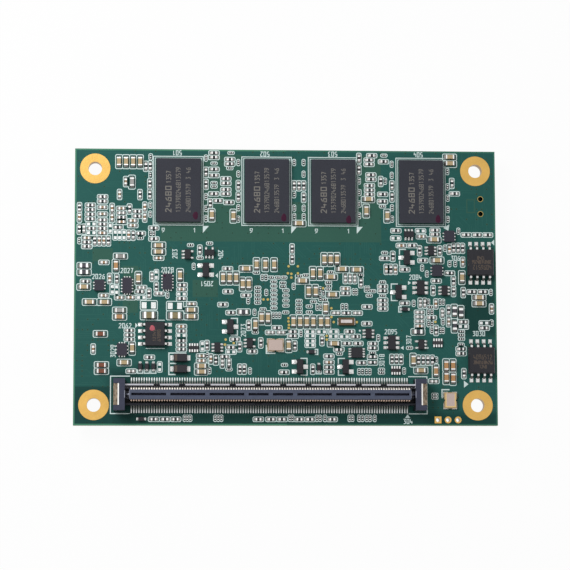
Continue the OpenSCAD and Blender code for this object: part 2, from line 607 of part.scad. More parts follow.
module connector_housing() color([0.14, 0.16, 0.21]) on_top(connector_at) difference() {
    union() {
        for (side = [0, 180]) rotate(side) housing_wall();
        along_x(tongue_len) polygon(tongue_outline());
        for (side = [0, 180]) rotate(side) housing_end();
    }
    tongue_slots();
    for (side = [0, 180]) rotate(side) clip_pocket();
}

// Rear wall: thick below, thin above, with a row of notches in its rim
module housing_wall() {
    outer = housing_d / 2;
    inner = tongue_d / 2 + leg_t + leg_gap;
    notch_step = contact_span / (notch_count + 1);
    difference() {
        along_x(housing_len - end_block_w)
            polygon([[inner, float_z], [outer, float_z], [outer, wall_top],
                [outer - wall_t, wall_top], [outer - wall_t, wall_base_h], [inner, wall_base_h]]);
        for (i = [0 : notch_count - 1])
            translate([(i - (notch_count - 1) / 2) * notch_step, outer, wall_top])
                block([notch_w, 2 * wall_t + cut, 2 * notch_deep], -notch_deep);
    }
}

function tongue_outline() =
    let (half = tongue_d / 2, in = half - tongue_edge, low = tongue_top - tongue_edge)
    [[-half, float_z], [half, float_z], [half, low], [in, tongue_top], [-in, tongue_top],
        [-half, low]];

module tongue_slots() {
    n = len(slot_parts);
    unit = (contact_span - (n - 1) * slot_rib) / sum_to(slot_parts, n);
    half = slot_w / 2;
    mouth = slot_mouth_w / 2;
    for (i = [0 : n - 1]) {
        slot_len = slot_parts[i] * unit;
        start = sum_to(slot_parts, i) * unit + i * slot_rib - contact_span / 2;
        translate([start + slot_len / 2, 0, tongue_top]) along_x(slot_len)
            polygon([[-half, -slot_deep], [half, -slot_deep], [half, -tongue_edge], [mouth, cut],
                [-mouth, cut], [-half, -tongue_edge]]);
    }
}

// Right end: block, floor between the block and the tongue, and the guide wedge
module housing_end() {
    floor_x = contact_span / 2 + floor_over;
    wedge_w = 0.34;
    wedge_len = 1.0;
    wedge_low = tongue_top - 1.8;
    wedge_high = tongue_top - 0.3;
    translate([block_x, -end_block_d / 2, 0]) cube([end_block_w, end_block_d, connector_h]);
    translate([floor_x, -housing_d / 2, float_z])
        cube([block_x - floor_x + cut, housing_d, floor_h]);
    translate([tongue_len / 2, 0, 0]) along_y(wedge_w)
        polygon([[-cut, float_z], [wedge_len, float_z], [wedge_len, wedge_low], [cut, wedge_high],
            [-cut, wedge_high]]);
}

module clip_pocket() {
    translate([housing_len / 2 - clip_w, -clip_d / 2 - clip_play, -cut])
        cube([clip_w + cut, clip_d + 2 * clip_play, connector_h + 2 * cut]);
}

// A contact: foot on the board, rise, run under the wall, and leg up beside the tongue
module contact() {
    outer = housing_d / 2;
    face = tongue_d / 2;
    back = face + leg_t;
    along_x(contact_w)
        polygon([[outer + foot_out + cut, 0], [outer + foot_out, contact_t],
            [outer + heel_out, contact_t], [outer + rise_out, run_z + contact_t],
            [back, run_z + contact_t], [back, tip_z - 0.22], [face + 0.1, tip_z], [face, tip_z],
            [face, run_z], [outer + rise_out - 0.08, run_z], [outer + heel_out - 0.08, 0]]);
}

module contact_row() {
    for (i = [0 : contact_count - 1]) translate([i * contact_pitch - contact_span / 2, 0, 0])
        contact();
}

module rear_contacts() color("khaki") on_top(connector_at) contact_row();

module front_contacts() color("khaki") on_top(connector_at) rotate(180) contact_row();

// Hold-down clip of the right end: foot, outer leg, top strip and raised inner rim,
// folded from one sheet
module hold_down() {
    high = connector_h - clip_drop;
    foot = clip_w - 0.2;
    translate([housing_len / 2, 0, 0]) along_y(clip_d)
        polygon([[0, 0], [0, high], [clip_rim - clip_w, high], [clip_rim - clip_w, connector_h],
            [-clip_w, connector_h], [-clip_w, high - clip_t], [-clip_t, high - clip_t],
            [-clip_t, clip_t], [-foot, clip_t], [-foot, 0]]);
}

module left_hold_down() color("tan") on_top(connector_at) rotate(180) hold_down();

module right_hold_down() color("tan") on_top(connector_at) hold_down();

// Ball-grid packages: solder balls, substrate, and a moulded top of the same outline
ball_h = 0.3;
ball_fn = 16;
substrate_t = 0.26;
memory_ball_d = 0.42;
memory_ball_columns = [-3.2, -2.4, -1.6, 1.6, 2.4, 3.2];
memory_ball_rows = 16;

module memory_top(i) color([0.18, 0.18, 0.2]) on_top(memory_at[i])
    block([memory_w, memory_d, memory_h - ball_h - substrate_t], ball_h + substrate_t);

module memory_chip_1() memory_top(0);

module memory_chip_2() memory_top(1);

module memory_chip_3() memory_top(2);

module memory_chip_4() memory_top(3);

module memory_substrates() color("darkgreen") for (at = memory_at) on_top(at)
    block([memory_w, memory_d, substrate_t], ball_h);

module memory_solder_balls() color("silver") for (at = memory_at) on_top(at)
    for (x = memory_ball_columns, i = [0 : memory_ball_rows - 1])
        translate([x, (i - (memory_ball_rows - 1) / 2) * memory_d / (memory_ball_rows + 1), 0])
            cylinder(d = memory_ball_d, h = ball_h, $fn = ball_fn);

module rear_flash_chip() color([0.15, 0.15, 0.17])
    on_top(flash_at[0]) rotate(flash_at[0][2]) gull_body(so8_wide);

module front_flash_chip() color([0.15, 0.15, 0.17])
    on_top(flash_at[1]) rotate(flash_at[1][2]) gull_body(so8_wide);

module flash_leads() color("silver") for (c = flash_at)
    on_top(c) rotate(c[2]) gull_leads(so8_wide);

module firmware_chip() color([0.2, 0.2, 0.22]) on_top(firmware_at) gull_body(so8);

module firmware_leads() color("silver") on_top(firmware_at) gull_leads(so8);

// Bodies and leads of a list of gull-wing chips
module gull_bodies(list) {
    for (c = list) on_top([c[1], c[2]]) rotate(c[3]) gull_body(c[0]);
}

module gull_lead_sets(list) {
    for (c = list) on_top([c[1], c[2]]) rotate(c[3]) gull_leads(c[0]);
}

module transistors() color([0.17, 0.17, 0.18]) gull_bodies(transistors_at);

module transistor_leads() color("silver") gull_lead_sets(transistors_at);

module regulators() color([0.17, 0.17, 0.18]) gull_bodies(regulators_at);

module regulator_leads() color("silver") gull_lead_sets(regulators_at);

module logic_gates() color([0.17, 0.17, 0.18]) gull_bodies(gates_at);

module logic_gate_leads() color("silver") gull_lead_sets(gates_at);

module leadless_chips() color([0.2, 0.2, 0.23]) for (c = leadless_at) on_top(c)
    block([c[2], c[3], leadless_h]);

// The pads of a leadless chip show as low blocks of solder beside its body
module leadless_chip_pads() color("silver") for (c = leadless_at) on_top(c) {
    side_step = c[3] / (c[4] + 1) * 1.15;
    for (side = [-1, 1], i = [0 : c[4] - 1])
        translate([side * (c[2] + pad_out) / 2, (i - (c[4] - 1) / 2) * side_step, 0])
            block([pad_out, pad_w, pad_h]);
    if (c[5] > 0) for (side = [-1, 1], i = [0 : c[5] - 1])
        translate([(i - (c[5] - 1) / 2) * pad_pitch, side * (c[3] + pad_out) / 2, 0])
            block([pad_w, pad_out, pad_h]);
}

// Crystals: a ceramic case with a metal lid, on four corner lands
module crystal_lands() {
    land_w = 1.1;
    land_d = 0.95;
    past = 0.1;
    for (x = [-1, 1], y = [-1, 1])
        translate([x * (crystal_w / 2 + past - land_w / 2), y * (crystal_d / 2 + past - land_d / 2), 0])
            block([land_w, land_d, land_t]);
}

// The case has a half-round notch in each long side
module crystal_cases() color("tan") for (c = crystals_at) on_top(c) rotate(c[2]) difference() {
    block([crystal_w, crystal_d, crystal_case_h], land_t);
    for (y = [-1, 1]) translate([0, y * crystal_d / 2, -cut])
        cylinder(d = 0.4, h = crystal_case_h + land_t + 2 * cut, $fn = 24);
}

module crystal_lids() color("rosybrown") for (c = crystals_at) on_top(c) rotate(c[2])
    block([crystal_w - 2 * lid_inset, crystal_d - 2 * lid_inset, crystal_lid_t],
        land_t + crystal_case_h);

module watch_crystal_case() color("saddlebrown") on_top(watch_crystal_at)
    block([watch_w, watch_d, watch_h], land_t);

module watch_crystal_lid() color("silver") on_top(watch_crystal_at)
    block([watch_lid_w, watch_lid_d, watch_lid_t], land_t + watch_h);

module large_diodes() color([0.2, 0.18, 0.17]) spread(large_diodes_at, [])
    moulded(large_diode[0], large_diode[1], large_diode[2], land_t);

module small_diodes() color([0.2, 0.18, 0.17]) spread(small_diodes_across, small_diodes_along)
    moulded(small_diode[0], small_diode[1], small_diode[2], land_t);

// Flat leads of a diode: out of the body's band, down, and along the lands
module diode_leads(size) {
    root = size[0] / 2;
    rise = land_t + size[2] / 2 - diode_lead_t / 2;
    for (side = [0, 180]) rotate(side) along_y(size[3])
        polygon([[root, rise], [root, rise + diode_lead_t], [root + 0.1, rise + diode_lead_t],
            [root + 0.2, land_t + diode_lead_t], [root + size[4], land_t + diode_lead_t],
            [root + size[4], land_t], [root + 0.1, land_t]]);
}

module large_diode_leads() color("silver") spread(large_diodes_at, []) diode_leads(large_diode);

module small_diode_leads() color("silver") spread(small_diodes_across, small_diodes_along)
    diode_leads(small_diode);

module resistors() color([0.1, 0.1, 0.12])
    spread(resistors_across, resistors_along) chip_body(chip_0402);

module small_capacitors() color("tan") {
    spread(capacitors_across, capacitors_along) chip_body(chip_0402);
    spread_under([], underside_small_along) chip_body(chip_0402);
}

module pale_capacitors() color("lightgray") {
    spread(pale_across, pale_along) chip_body(chip_0402);
    spread(pale_medium_across, pale_medium_along) chip_body(chip_0603);
}

module medium_capacitors() color("burlywood") {
    spread(medium_across, medium_along) chip_body(chip_0603);
    spread_under(underside_medium_across, []) chip_body(chip_0603);
}

module brown_capacitors() color("sienna") spread(brown_across, []) chip_body(chip_0603);

module large_capacitors() color("darkkhaki") spread(large_across, []) chip_body(chip_0805);

module ferrites() color("dimgray") spread(ferrites_across, ferrites_along) chip_body(bead_0603);

module tiny_parts() color([0.15, 0.14, 0.14]) spread(tiny_across, tiny_along) chip_body(chip_0201);

// Resistor arrays: four resistors in one body, with an end cap on each side of each
module resistor_arrays() color([0.12, 0.12, 0.14]) for (at = arrays_at) on_top(at)
    block([4 * array_pitch, array_body_d, array_h - 2 * cap_step], cap_step);

module resistor_array_ends() color("silver") for (at = arrays_at) on_top(at)
    for (i = [-1.5 : 1.5], side = [-1, 1])
        translate([i * array_pitch, side * (array_body_d + array_end_d) / 2, 0])
            block([array_end_w, array_end_d, array_h]);

module small_part_ends() color("white") {
    spread(concat(resistors_across, capacitors_across, pale_across),
        concat(resistors_along, capacitors_along, pale_along)) chip_ends(chip_0402);
    spread_under([], underside_small_along) chip_ends(chip_0402);
}

module medium_part_ends() color("white") {
    spread(concat(medium_across, brown_across, pale_medium_across),
        concat(medium_along, pale_medium_along)) chip_ends(chip_0603);
    spread(ferrites_across, ferrites_along) chip_ends(bead_0603);
    spread_under(underside_medium_across, []) chip_ends(chip_0603);
    spread(large_across, []) chip_ends(chip_0805);
}

module tiny_part_ends() color("white") spread(tiny_across, tiny_along) chip_ends(chip_0201);

module processor_substrate() color("darkgreen") on_under(processor_at)
    block([processor_w, processor_d, processor_h - ball_h - die_h], ball_h);

module processor_die() color("slategray") on_under(processor_at)
    block([die_w, die_d, die_h], processor_h - die_h);

// The two outer rings of balls, which show from the side
module processor_solder_balls() color("silver") on_under(processor_at)
    for (ring = [0, 1]) {
        half_w = processor_w / 2 - 0.8 - ring;
        half_d = processor_d / 2 - 0.8 - ring;
        n = 12;
        for (i = [1 - n : n - 1], side = [-1, 1]) translate([i * half_w / n, side * half_d, 0])
            cylinder(d = processor_ball_d, h = ball_h, $fn = ball_fn);
        for (i = [-n : n], side = [-1, 1]) translate([side * half_w, i * half_d / n, 0])
            cylinder(d = processor_ball_d, h = ball_h, $fn = ball_fn);
    }

// Power coils: a pressed block with its four upright edges cut off
module coils() color([0.25, 0.25, 0.27]) for (at = coils_at) on_under(at) intersection() {
    block([coil_w, coil_w, coil_h - land_t], land_t);
    rotate(45) block([coil_w * 1.3, coil_w * 1.3, coil_h]);
}

module coil_ends() color("silver") for (at = coils_at) on_under(at)
    terminal_pair(coil_w / 2 - 1.3, coil_w / 2, 3, 1);

module storage_chip() color([0.18, 0.18, 0.2]) on_under(storage_at) block(storage_size);

module underside_chips() color([0.2, 0.2, 0.22]) for (c = underside_chips_at) on_under(c)
    block([c[2], c[3], underside_chip_h]);

module bulk_capacitors() color([0.2, 0.2, 0.2]) for (at = bulk_at) on_under(at)
    moulded(bulk[0], bulk[1], bulk[2], land_t);

module underside_lands() color("silver") for (at = bulk_at) on_under(at)
    terminal_pair(bulk[0] / 2 - 1.2, bulk[0] / 2, 2.4, land_t + bulk[2] / 2);

circuit_board();
mounting_hole_plating();
plated_holes();
test_points();
bare_lands();
chip_lands();
connector_housing();
rear_contacts();
front_contacts();
left_hold_down();
right_hold_down();
memory_chip_1();
memory_chip_2();
memory_chip_3();
memory_chip_4();
memory_substrates();
memory_solder_balls();
rear_flash_chip();
front_flash_chip();
flash_leads();
firmware_chip();
firmware_leads();
transistors();
transistor_leads();
regulators();
regulator_leads();
logic_gates();
logic_gate_leads();
leadless_chips();
leadless_chip_pads();
crystal_cases();
crystal_lids();
watch_crystal_case();
watch_crystal_lid();
large_diodes();
large_diode_leads();
small_diodes();
small_diode_leads();
resistors();
small_capacitors();
pale_capacitors();
medium_capacitors();
brown_capacitors();
large_capacitors();
ferrites();
tiny_parts();
resistor_arrays();
small_part_ends();
medium_part_ends();
tiny_part_ends();
resistor_array_ends();
processor_substrate();
processor_die();
processor_solder_balls();
coils();
coil_ends();
storage_chip();
underside_chips();
bulk_capacitors();
underside_lands();
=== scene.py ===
# %% [markdown]
# # A system on module, dressed for its portrait
# The solids of the module, with every chip, contact and solder joint, come from a packed CAD
# model. This lesson gives them their finishes, prints the white ink on the board, and sets up
# the light and the camera. One step comes at a time, with a few words before each.

# %% Load the packed model
import math
import bpy
import bmesh
from mathutils import Matrix, Vector


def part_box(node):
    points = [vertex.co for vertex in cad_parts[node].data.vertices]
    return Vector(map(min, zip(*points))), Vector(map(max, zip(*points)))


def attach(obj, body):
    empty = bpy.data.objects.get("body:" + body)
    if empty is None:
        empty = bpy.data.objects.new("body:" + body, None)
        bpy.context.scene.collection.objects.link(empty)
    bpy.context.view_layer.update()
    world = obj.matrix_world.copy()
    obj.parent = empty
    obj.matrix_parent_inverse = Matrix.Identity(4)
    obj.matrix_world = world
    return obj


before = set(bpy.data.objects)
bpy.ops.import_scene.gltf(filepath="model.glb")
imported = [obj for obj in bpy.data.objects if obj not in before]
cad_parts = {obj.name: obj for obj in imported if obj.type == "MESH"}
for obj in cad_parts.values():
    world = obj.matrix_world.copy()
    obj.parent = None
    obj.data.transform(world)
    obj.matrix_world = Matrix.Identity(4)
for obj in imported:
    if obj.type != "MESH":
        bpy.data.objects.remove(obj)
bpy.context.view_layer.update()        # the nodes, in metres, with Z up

# %% [markdown]
# ## Places on the board
# A layout engineer gives places in millimetres from a corner of the board. Metres from the
# middle would do too, but they are hard to check against a drawing. So `on_board(x, y, up)`
# turns an engineer's place into metres. The corner is read from the board itself, so the ink
# stays on the board if its size changes.

# %% Millimetres on the board
MM = 0.001
board_low, board_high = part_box("circuit_board")


def on_board(x, y, up=0.0):
    """The point at x, y on the board's top face, or up millimetres above it."""
    return Vector((board_low[0] + x * MM, board_low[1] + y * MM, board_high[2] + up * MM))


BOARD_W = (board_high[0] - board_low[0]) / MM
BOARD_D = (board_high[1] - board_low[1]) / MM
print(f"board {BOARD_W:.1f} x {BOARD_D:.1f} mm")

# %% [markdown]
# ## The camera
# A catalogue photograph of a flat board is taken with a long lens from almost straight above.
# A near camera would lean the tall parts outwards. This far one keeps them upright, and a
# small offset from the middle lets a little of their front and left sides show.

# %% Camera above the board
CAMERA_AT = (15.1, -20.03, 433.53)
AIM_AT = (41.73, 27.86, 0.0)
LENS = 138.95
ROLL = -0.13

camera = bpy.data.objects.new("camera", bpy.data.cameras.new("camera"))
bpy.context.collection.objects.link(camera)
camera.data.lens = LENS
camera.data.clip_start = 0.01
camera.data.clip_end = 20.0
back = (on_board(*CAMERA_AT) - on_board(*AIM_AT)).normalized()
sideways = Vector((0, 1, 0)).cross(back).normalized()
turned = Matrix((sideways, back.cross(sideways), back)).transposed()
camera.matrix_world = (Matrix.Translation(on_board(*CAMERA_AT)) @ turned.to_4x4()
                       @ Matrix.Rotation(math.radians(ROLL), 4, "Z"))
bpy.context.scene.camera = camera
print("camera height", round(camera.matrix_world.translation.z, 3), "m")

# %% [markdown]
# ## Shader sums as plain Python
# A finish is a small network of nodes. Wiring its sums one node at a time hides the idea
# behind them, so the class `Value` wraps one output of a node, and its operators add the Math
# nodes. Then `1 - mask * 0.3` reads as the sum that it is.

# %% Values that can be added and multiplied


class Value:
    """One output of a node: a number or a colour that changes over a surface."""

    def __init__(self, network, socket):
        self.network = network
        self.socket = socket

    def maths(self, operation, *values):
        """A Math node on some values, in their order."""
        return self.network.node("ShaderNodeMath", {"operation": operation},
                                 dict(enumerate(values)))

    def __add__(self, other):
        return self.maths("ADD", self, other)

    def __sub__(self, other):
        return self.maths("SUBTRACT", self, other)

    def __rsub__(self, other):
        return self.maths("SUBTRACT", other, self)

    def __mul__(self, other):
        return self.maths("MULTIPLY", self, other)

    def __truediv__(self, other):
        return self.maths("DIVIDE", self, other)

    def __rtruediv__(self, other):
        return self.maths("DIVIDE", other, self)

    def __pow__(self, exponent):
        return self.maths("POWER", self, exponent)

    def __lt__(self, other):
        return self.maths("LESS_THAN", self, other)

    def __gt__(self, other):
        return self.maths("GREATER_THAN", self, other)

    def __abs__(self):
        return self.maths("ABSOLUTE", self)

    def floor(self):
        return self.maths("FLOOR", self)

    def fraction(self):
        return self.maths("FRACT", self)

    def larger(self, other):
        return self.maths("MAXIMUM", self, other)

    def smaller(self, other):
        return self.maths("MINIMUM", self, other)

    __radd__ = __add__
    __rmul__ = __mul__


print("sums:", ", ".join(name for name in vars(Value) if name.startswith("__r")))

# %% [markdown]
# ## One way to add a node
# A new node needs three steps: it is added, set up and linked. The class `Network` does them
# in one method. `node` takes the kind of node, then its settings, such as which sum a Math
# node does, and then the values or links of its sockets. A material and the world both hold
# such a network, so the class is tied to neither.

# %% Networks of nodes


class Network:
    """The nodes of a material or of the world."""

    def __init__(self, tree):
        self.tree = tree

    def node(self, kind, settings, sockets, out=0):
        """Adds a node, and gives one of its outputs."""
        made = self.tree.nodes.new(kind)
        for setting, value in settings.items():
            setattr(made, setting, value)
        for socket, value in sockets.items():
            self.feed(made.inputs[socket], value)
        return Value(self, made.outputs[out])

    def feed(self, socket, value):
        """Links a value to a socket, or sets the socket to a plain number or colour."""
        if isinstance(value, Value):
            self.tree.links.new(value.socket, socket)
        elif isinstance(value, (tuple, Vector)) and socket.type == "RGBA":
            socket.default_value = (*value[:3], 1)
        else:
            socket.default_value = value

    def outputs_of(self, value):
        """All outputs of the node that a value comes from."""
        return [Value(self, socket) for socket in value.socket.node.outputs]


print("a network can:", ", ".join(name for name in vars(Network) if name[0] != "_"))

# %% [markdown]
# ## Patterns and colours
# Real surfaces vary: grain, cloudy patches, steps from one tone to another. A photograph
# wrapped round the part could show them, but it blurs close up. These patterns are worked out
# at every point, so they stay sharp, and their sizes are real millimetres.

# %% Patterns and colours


class Pattern(Network):
    """A network with noise, soft steps and mixed colours."""

    def parts_of(self, vector):
        """The three numbers of a vector."""
        return self.outputs_of(self.node("ShaderNodeSeparateXYZ", {}, {0: vector}))

    def noise(self, where, size, detail=2.0, stretch=(1, 1, 1)):
        """Soft random values from 0 to 1, with features of a size in millimetres."""
        scaled = self.node("ShaderNodeVectorMath", {"operation": "MULTIPLY"},
                           {0: where, 1: stretch})
        return self.node("ShaderNodeTexNoise", {"noise_dimensions": "3D"},
                         {"Vector": scaled, "Scale": 1 / size, "Detail": detail})

    def chance(self, x, y, z=0.0):
        """A random value that is the same wherever x, y and z are the same."""
        spot = self.node("ShaderNodeCombineXYZ", {}, {0: x, 1: y, 2: z})
        return self.node("ShaderNodeTexWhiteNoise", {"noise_dimensions": "3D"},
                         {"Vector": spot})

    def ramp(self, value, low, high):
        """Rises softly from 0 where value is low to 1 where it is high."""
        return self.node("ShaderNodeMapRange", {"interpolation_type": "SMOOTHSTEP"},
                         {"Value": value, "From Min": low, "From Max": high})

    def mix(self, mask, under, over):
        """The colour under, and the colour over it where mask is 1."""
        return self.node("ShaderNodeMix", {"data_type": "RGBA"}, {0: mask, 6: under, 7: over},
                         out=2)

    def shade(self, colour, amount):
        """A colour made lighter or darker by a factor."""
        return self.node("ShaderNodeVectorMath", {"operation": "SCALE"},
                         {0: colour, "Scale": amount})


print("a pattern can also:", ", ".join(name for name in vars(Pattern) if name[0] != "_"))

# %% [markdown]
# ## One finish, one small class
# A `Finish` is a material with Blender's glossy shader, which suits plastic, metal and lacquer
# alike. It knows the place and the direction of each point on the object itself, so a pattern
# stays where it is when the camera moves.

# %% The Finish class


class Finish(Pattern):
    """A material, its shader, and the nodes that feed it."""

    def __init__(self, name, **fixed):
        self.material = bpy.data.materials.new(name)
        self.material.use_nodes = True
        super().__init__(self.material.node_tree)
        self.shader = self.tree.nodes["Principled BSDF"]
        self.set(**fixed)

    def place(self):
        """The place on the object in millimetres, as a vector."""
        coords = self.node("ShaderNodeTexCoord", {}, {}, out="Object")
        return self.node("ShaderNodeVectorMath", {"operation": "SCALE"},
                         {0: coords, "Scale": 1 / MM})

    def facing(self):
        """The direction that a surface faces, as three numbers."""
        return self.parts_of(self.node("ShaderNodeTexCoord", {}, {}, out="Normal"))

    def set(self, **surface):
        """Feeds the shader's sockets; an underscore stands for a space in their names."""
        for socket, value in surface.items():
            self.feed(self.shader.inputs[socket.replace("_", " ")], value)

    def relief(self, height, depth):
        """Bumps, where a height of 1 stands depth millimetres proud."""
        self.set(Normal=self.node("ShaderNodeBump", {}, {
            "Strength": 1.0, "Distance": depth * MM, "Height": height}))


print("a finish can also:", ", ".join(name for name in vars(Finish) if name[0] != "_"))

# %% [markdown]
# ## Dressing the CAD nodes
# Every CAD node arrives with a plain material named after its slot, such as `solder`. Giving
# out finishes by slot dresses nodes of one kind alike. A node that differs from its kind is
# dressed by its own name.

# %% Give out a finish


def dress(slot, finish):
    """Gives a finish to every CAD node of a material slot."""
    places = [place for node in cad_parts.values() for place in node.material_slots
              if place.material and place.material.name.split(".")[0] == slot]
    for place in places:
        place.material = finish.material
    print(f"{slot}: {len(places)} nodes")


def dress_node(name, finish):
    """Gives a finish to one CAD node."""
    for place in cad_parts[name].material_slots:
        place.material = finish.material
    print(name, "alone")


print("slots in the model:", len({place.material.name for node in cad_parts.values()
                                  for place in node.material_slots}))

# %% [markdown]
# ## The board: green solder mask over copper
# A board is glass-fibre laminate with copper on it, under a thin coat of green lacquer. The
# copper stands 0.03 mm proud and shows through a little paler. Real traces could be drawn one
# by one, but there are thousands. Here they are rows of fine lines that start and stop at
# random, in three directions, which is close to what the eye sees at this scale.

# %% Solder mask: traces
DIAGONAL = 0.7071
LEFT_OUT = 0.55          # share of the runs that carry no trace
mask = Finish("green_solder_mask", Specular_IOR_Level=0.10)
where = mask.place()
x, y, z = mask.parts_of(where)
_, _, up = mask.facing()


def trace_lines(across, along, pitch, run, seed):
    """Fine parallel lines, each broken into runs of a length at random places."""
    row = (across / pitch).floor()
    middle = 1 - abs((across / pitch).fraction() * 2 - 1)
    shifted = along / run + mask.chance(row, seed) * 9
    wanted = mask.chance(row, shifted.floor(), seed) > LEFT_OUT
    return mask.ramp(middle, 0.50, 0.66) * wanted


level = trace_lines(y, x, 0.42, 5.5, 3.0)
upright = trace_lines(x, y, 0.44, 4.5, 7.0)
slanted = trace_lines((x + y) * DIAGONAL, (x - y) * DIAGONAL, 0.48, 3.5, 11.0)
zone = mask.ramp(mask.noise(where, 9.0, 1.0), 0.49, 0.51)
busy = mask.ramp(mask.noise(where, 5.0, 1.0), 0.56, 0.62)
traces = (level * zone + upright * (1 - zone)) * (1 - busy) + slanted * busy
print("board nodes so far:", len(mask.tree.nodes))

# %% [markdown]
# Vias are plated holes that join the layers, and the lacquer closes them to small dots. As
# solids they would be thousands of holes that nobody looks into. So they are drawn: one may
# stand at each point of a fine grid, and more of them stand in the field behind the processor.

# %% Vias
VIA_PITCH = 1.02
VIA_RARE, VIA_DENSER = 0.78, 0.33
VIA_FIELD = (-16.0, -2.0, 20.0, 7.5)
in_field = (x > VIA_FIELD[0]) * (x < VIA_FIELD[2]) * (y > VIA_FIELD[1]) * (y < VIA_FIELD[3])
via_x, via_y = x / VIA_PITCH, y / VIA_PITCH
via_here = mask.chance(via_x.floor(), via_y.floor(), 5.0) > VIA_RARE - in_field * VIA_DENSER
off_x, off_y = via_x.fraction() - 0.5, via_y.fraction() - 0.5
via_r = (off_x * off_x + off_y * off_y) ** 0.5 * VIA_PITCH
via_ring = (1 - mask.ramp(via_r, 0.20, 0.26)) * via_here
via_plug = (1 - mask.ramp(via_r, 0.08, 0.14)) * via_here
print("vias on a grid of", VIA_PITCH, "mm")

# %% [markdown]
# Power is spread over wide copper areas with straight, cut corners, and under the front edge
# there is no copper at all, so the board is darker there; that darker strip is also painted
# shade, for the light that falls off near the front. A painted mask would need an image, so each
# area is a rectangle given by its sides: left, front, right and rear.

# %% Rectangles on the board


def area(made, x, y, place, soft=0.08):
    """1 inside a rectangle (left, front, right, rear) on the board, and 0 outside it."""
    left, front, right, rear = place
    outside = (abs(x - (left + right - BOARD_W) / 2) - (right - left) / 2).larger(
        abs(y - (front + rear - BOARD_D) / 2) - (rear - front) / 2)
    return 1 - made.ramp(outside, -soft, soft)


def any_area(made, x, y, places, soft=0.08):
    """1 inside any of several rectangles."""
    inside = area(made, x, y, places[0], soft)
    for place in places[1:]:
        inside = inside.larger(area(made, x, y, place, soft))
    return inside


COPPER_AREAS = ((17.0, 36.5, 61.0, 44.5), (25.4, 36.5, 33.2, 54.0), (56.0, 36.5, 61.0, 54.0),
                (3.6, 32.4, 7.6, 35.0), (23.4, 25.4, 28.4, 28.8), (9.6, 22.2, 12.6, 31.5))
# The darker strip along the front edge is bare laminate and painted shade.
BARE_AND_SHADED_STRIP = (7.0, -1.0, 84.0, 2.6)
BARE_CORNER = (-1.0, -1.0, 8.6, 7.6)
BARE_AREAS = ((7.2, 0.5, 13.5, 11.0), (76.5, 17.6, 84.0, 30.0))
ETCHED = (78.15, 42.5, 79.95, 45.35)
ETCHED_INSIDE = (78.4, 42.75, 79.7, 45.1)
etched_line = area(mask, x, y, ETCHED, 0.05) * (1 - area(mask, x, y, ETCHED_INSIDE, 0.05))
pour = etched_line.larger(any_area(mask, x, y, COPPER_AREAS))
bare = area(mask, x, y, BARE_AND_SHADED_STRIP, 1.2).larger(any_area(mask, x, y, BARE_AREAS, 1.5))
bare = bare.larger(area(mask, x, y, BARE_CORNER, 0.25) * 0.85)
print("copper areas:", len(COPPER_AREAS), " without copper:", len(BARE_AREAS) + 2)

# %% [markdown]
# The lacquer thins out towards the cut edge. On the four sides of the board the sawn laminate
# shows, with faint lines where its copper layers end. Both are found from the distance to the
# edge and from the way that a face points, so no second material is needed.

# %% Edge of the board
EDGE_BAND = 0.30
LAMINATE = (0.350, 0.430, 0.280)
LAYER_LINE = (0.30, 0.28, 0.15)
to_edge = (BOARD_W / 2 - abs(x)).smaller(BOARD_D / 2 - abs(y))
wander = mask.noise(where, 3.0, 2.0) * 0.08
rim = 1 - mask.ramp(to_edge + wander, EDGE_BAND, EDGE_BAND + 0.08)
side = 1 - mask.ramp(abs(up), 0.4, 0.6)
layers = mask.ramp(abs((z * 2.5).fraction() - 0.5), 0.40, 0.46)
edge = mask.mix(layers, LAMINATE, LAYER_LINE)
edge = mask.shade(edge, 0.75 + mask.noise(where, 0.25, 3.0, (0.2, 0.2, 1.0)) * 0.5)
print("pale band along the edge:", EDGE_BAND, "mm")

# %% [markdown]
# Now the layers are laid over each other as on the real board: lacquer, traces, vias, copper
# areas, bare laminate and the thin rim, and the bare strip along the front edge also carries
# painted shade. Traces and vias also stand proud, so one height map of the same values makes them
# catch the light.

# %% All colours of the board
MASK_GREEN = (0.024, 0.117, 0.102)
MASK_ON_COPPER = (0.043, 0.130, 0.097)
MASK_ON_TRACE = (0.029, 0.130, 0.112)
MASK_ON_LAMINATE = (0.007, 0.038, 0.033)
VIA_RING = (0.040, 0.128, 0.098)
VIA_PLUG = (0.026, 0.048, 0.030)
THIN_LACQUER = (0.085, 0.275, 0.175)
green = mask.mix(traces, MASK_GREEN, MASK_ON_TRACE)
green = mask.mix(via_ring, green, VIA_RING)
green = mask.mix(via_plug, green, VIA_PLUG)
green = mask.mix(pour * (1 - via_plug), green, MASK_ON_COPPER)
green = mask.mix(bare * 0.75, green, MASK_ON_LAMINATE)
green = mask.shade(green, 0.82 + mask.noise(where, 14.0, 4.0) * 0.24
                   + mask.noise(where, 0.45, 3.0) * 0.12)
green = mask.mix(rim * (0.50 + (x < 0.0) * 0.50), green, THIN_LACQUER)
mask.set(Base_Color=mask.mix(side, green, edge),
         Roughness=0.42 + side * 0.25 + mask.noise(where, 0.6, 3.0) * 0.08)
copper = pour * 0.5 + traces * 0.3 + via_ring * 0.3 - via_plug * 0.6
mask.relief((copper + mask.noise(where, 0.35, 3.0) * 0.25) * (1 - side)
            + mask.noise(where, 0.10, 3.0) * side * 0.6, 0.02)
dress("solder_mask", mask)

# %% [markdown]
# ## Metals
# Tin, solder and gold are all the same kind of surface: a metal, more or less smooth. What
# sets them apart is colour, and how the surface froze. So one function makes the smoothness
# and the relief of them all, with soft dimples of one size and a fine grain.

# %% Metal without its colour


def metal(name, rough, dimple, grain):
    """A metal finish, and the place on it; dimple and grain are in millimetres."""
    made = Finish(name, Metallic=1.0)
    at = made.place()
    made.set(Roughness=rough - 0.06 + made.noise(at, dimple * 2, 2.0) * 0.12)
    made.relief(made.noise(at, dimple, 2.0) * 0.8 + made.noise(at, grain, 2.0) * 0.2,
                dimple * 0.04)
    return made, at


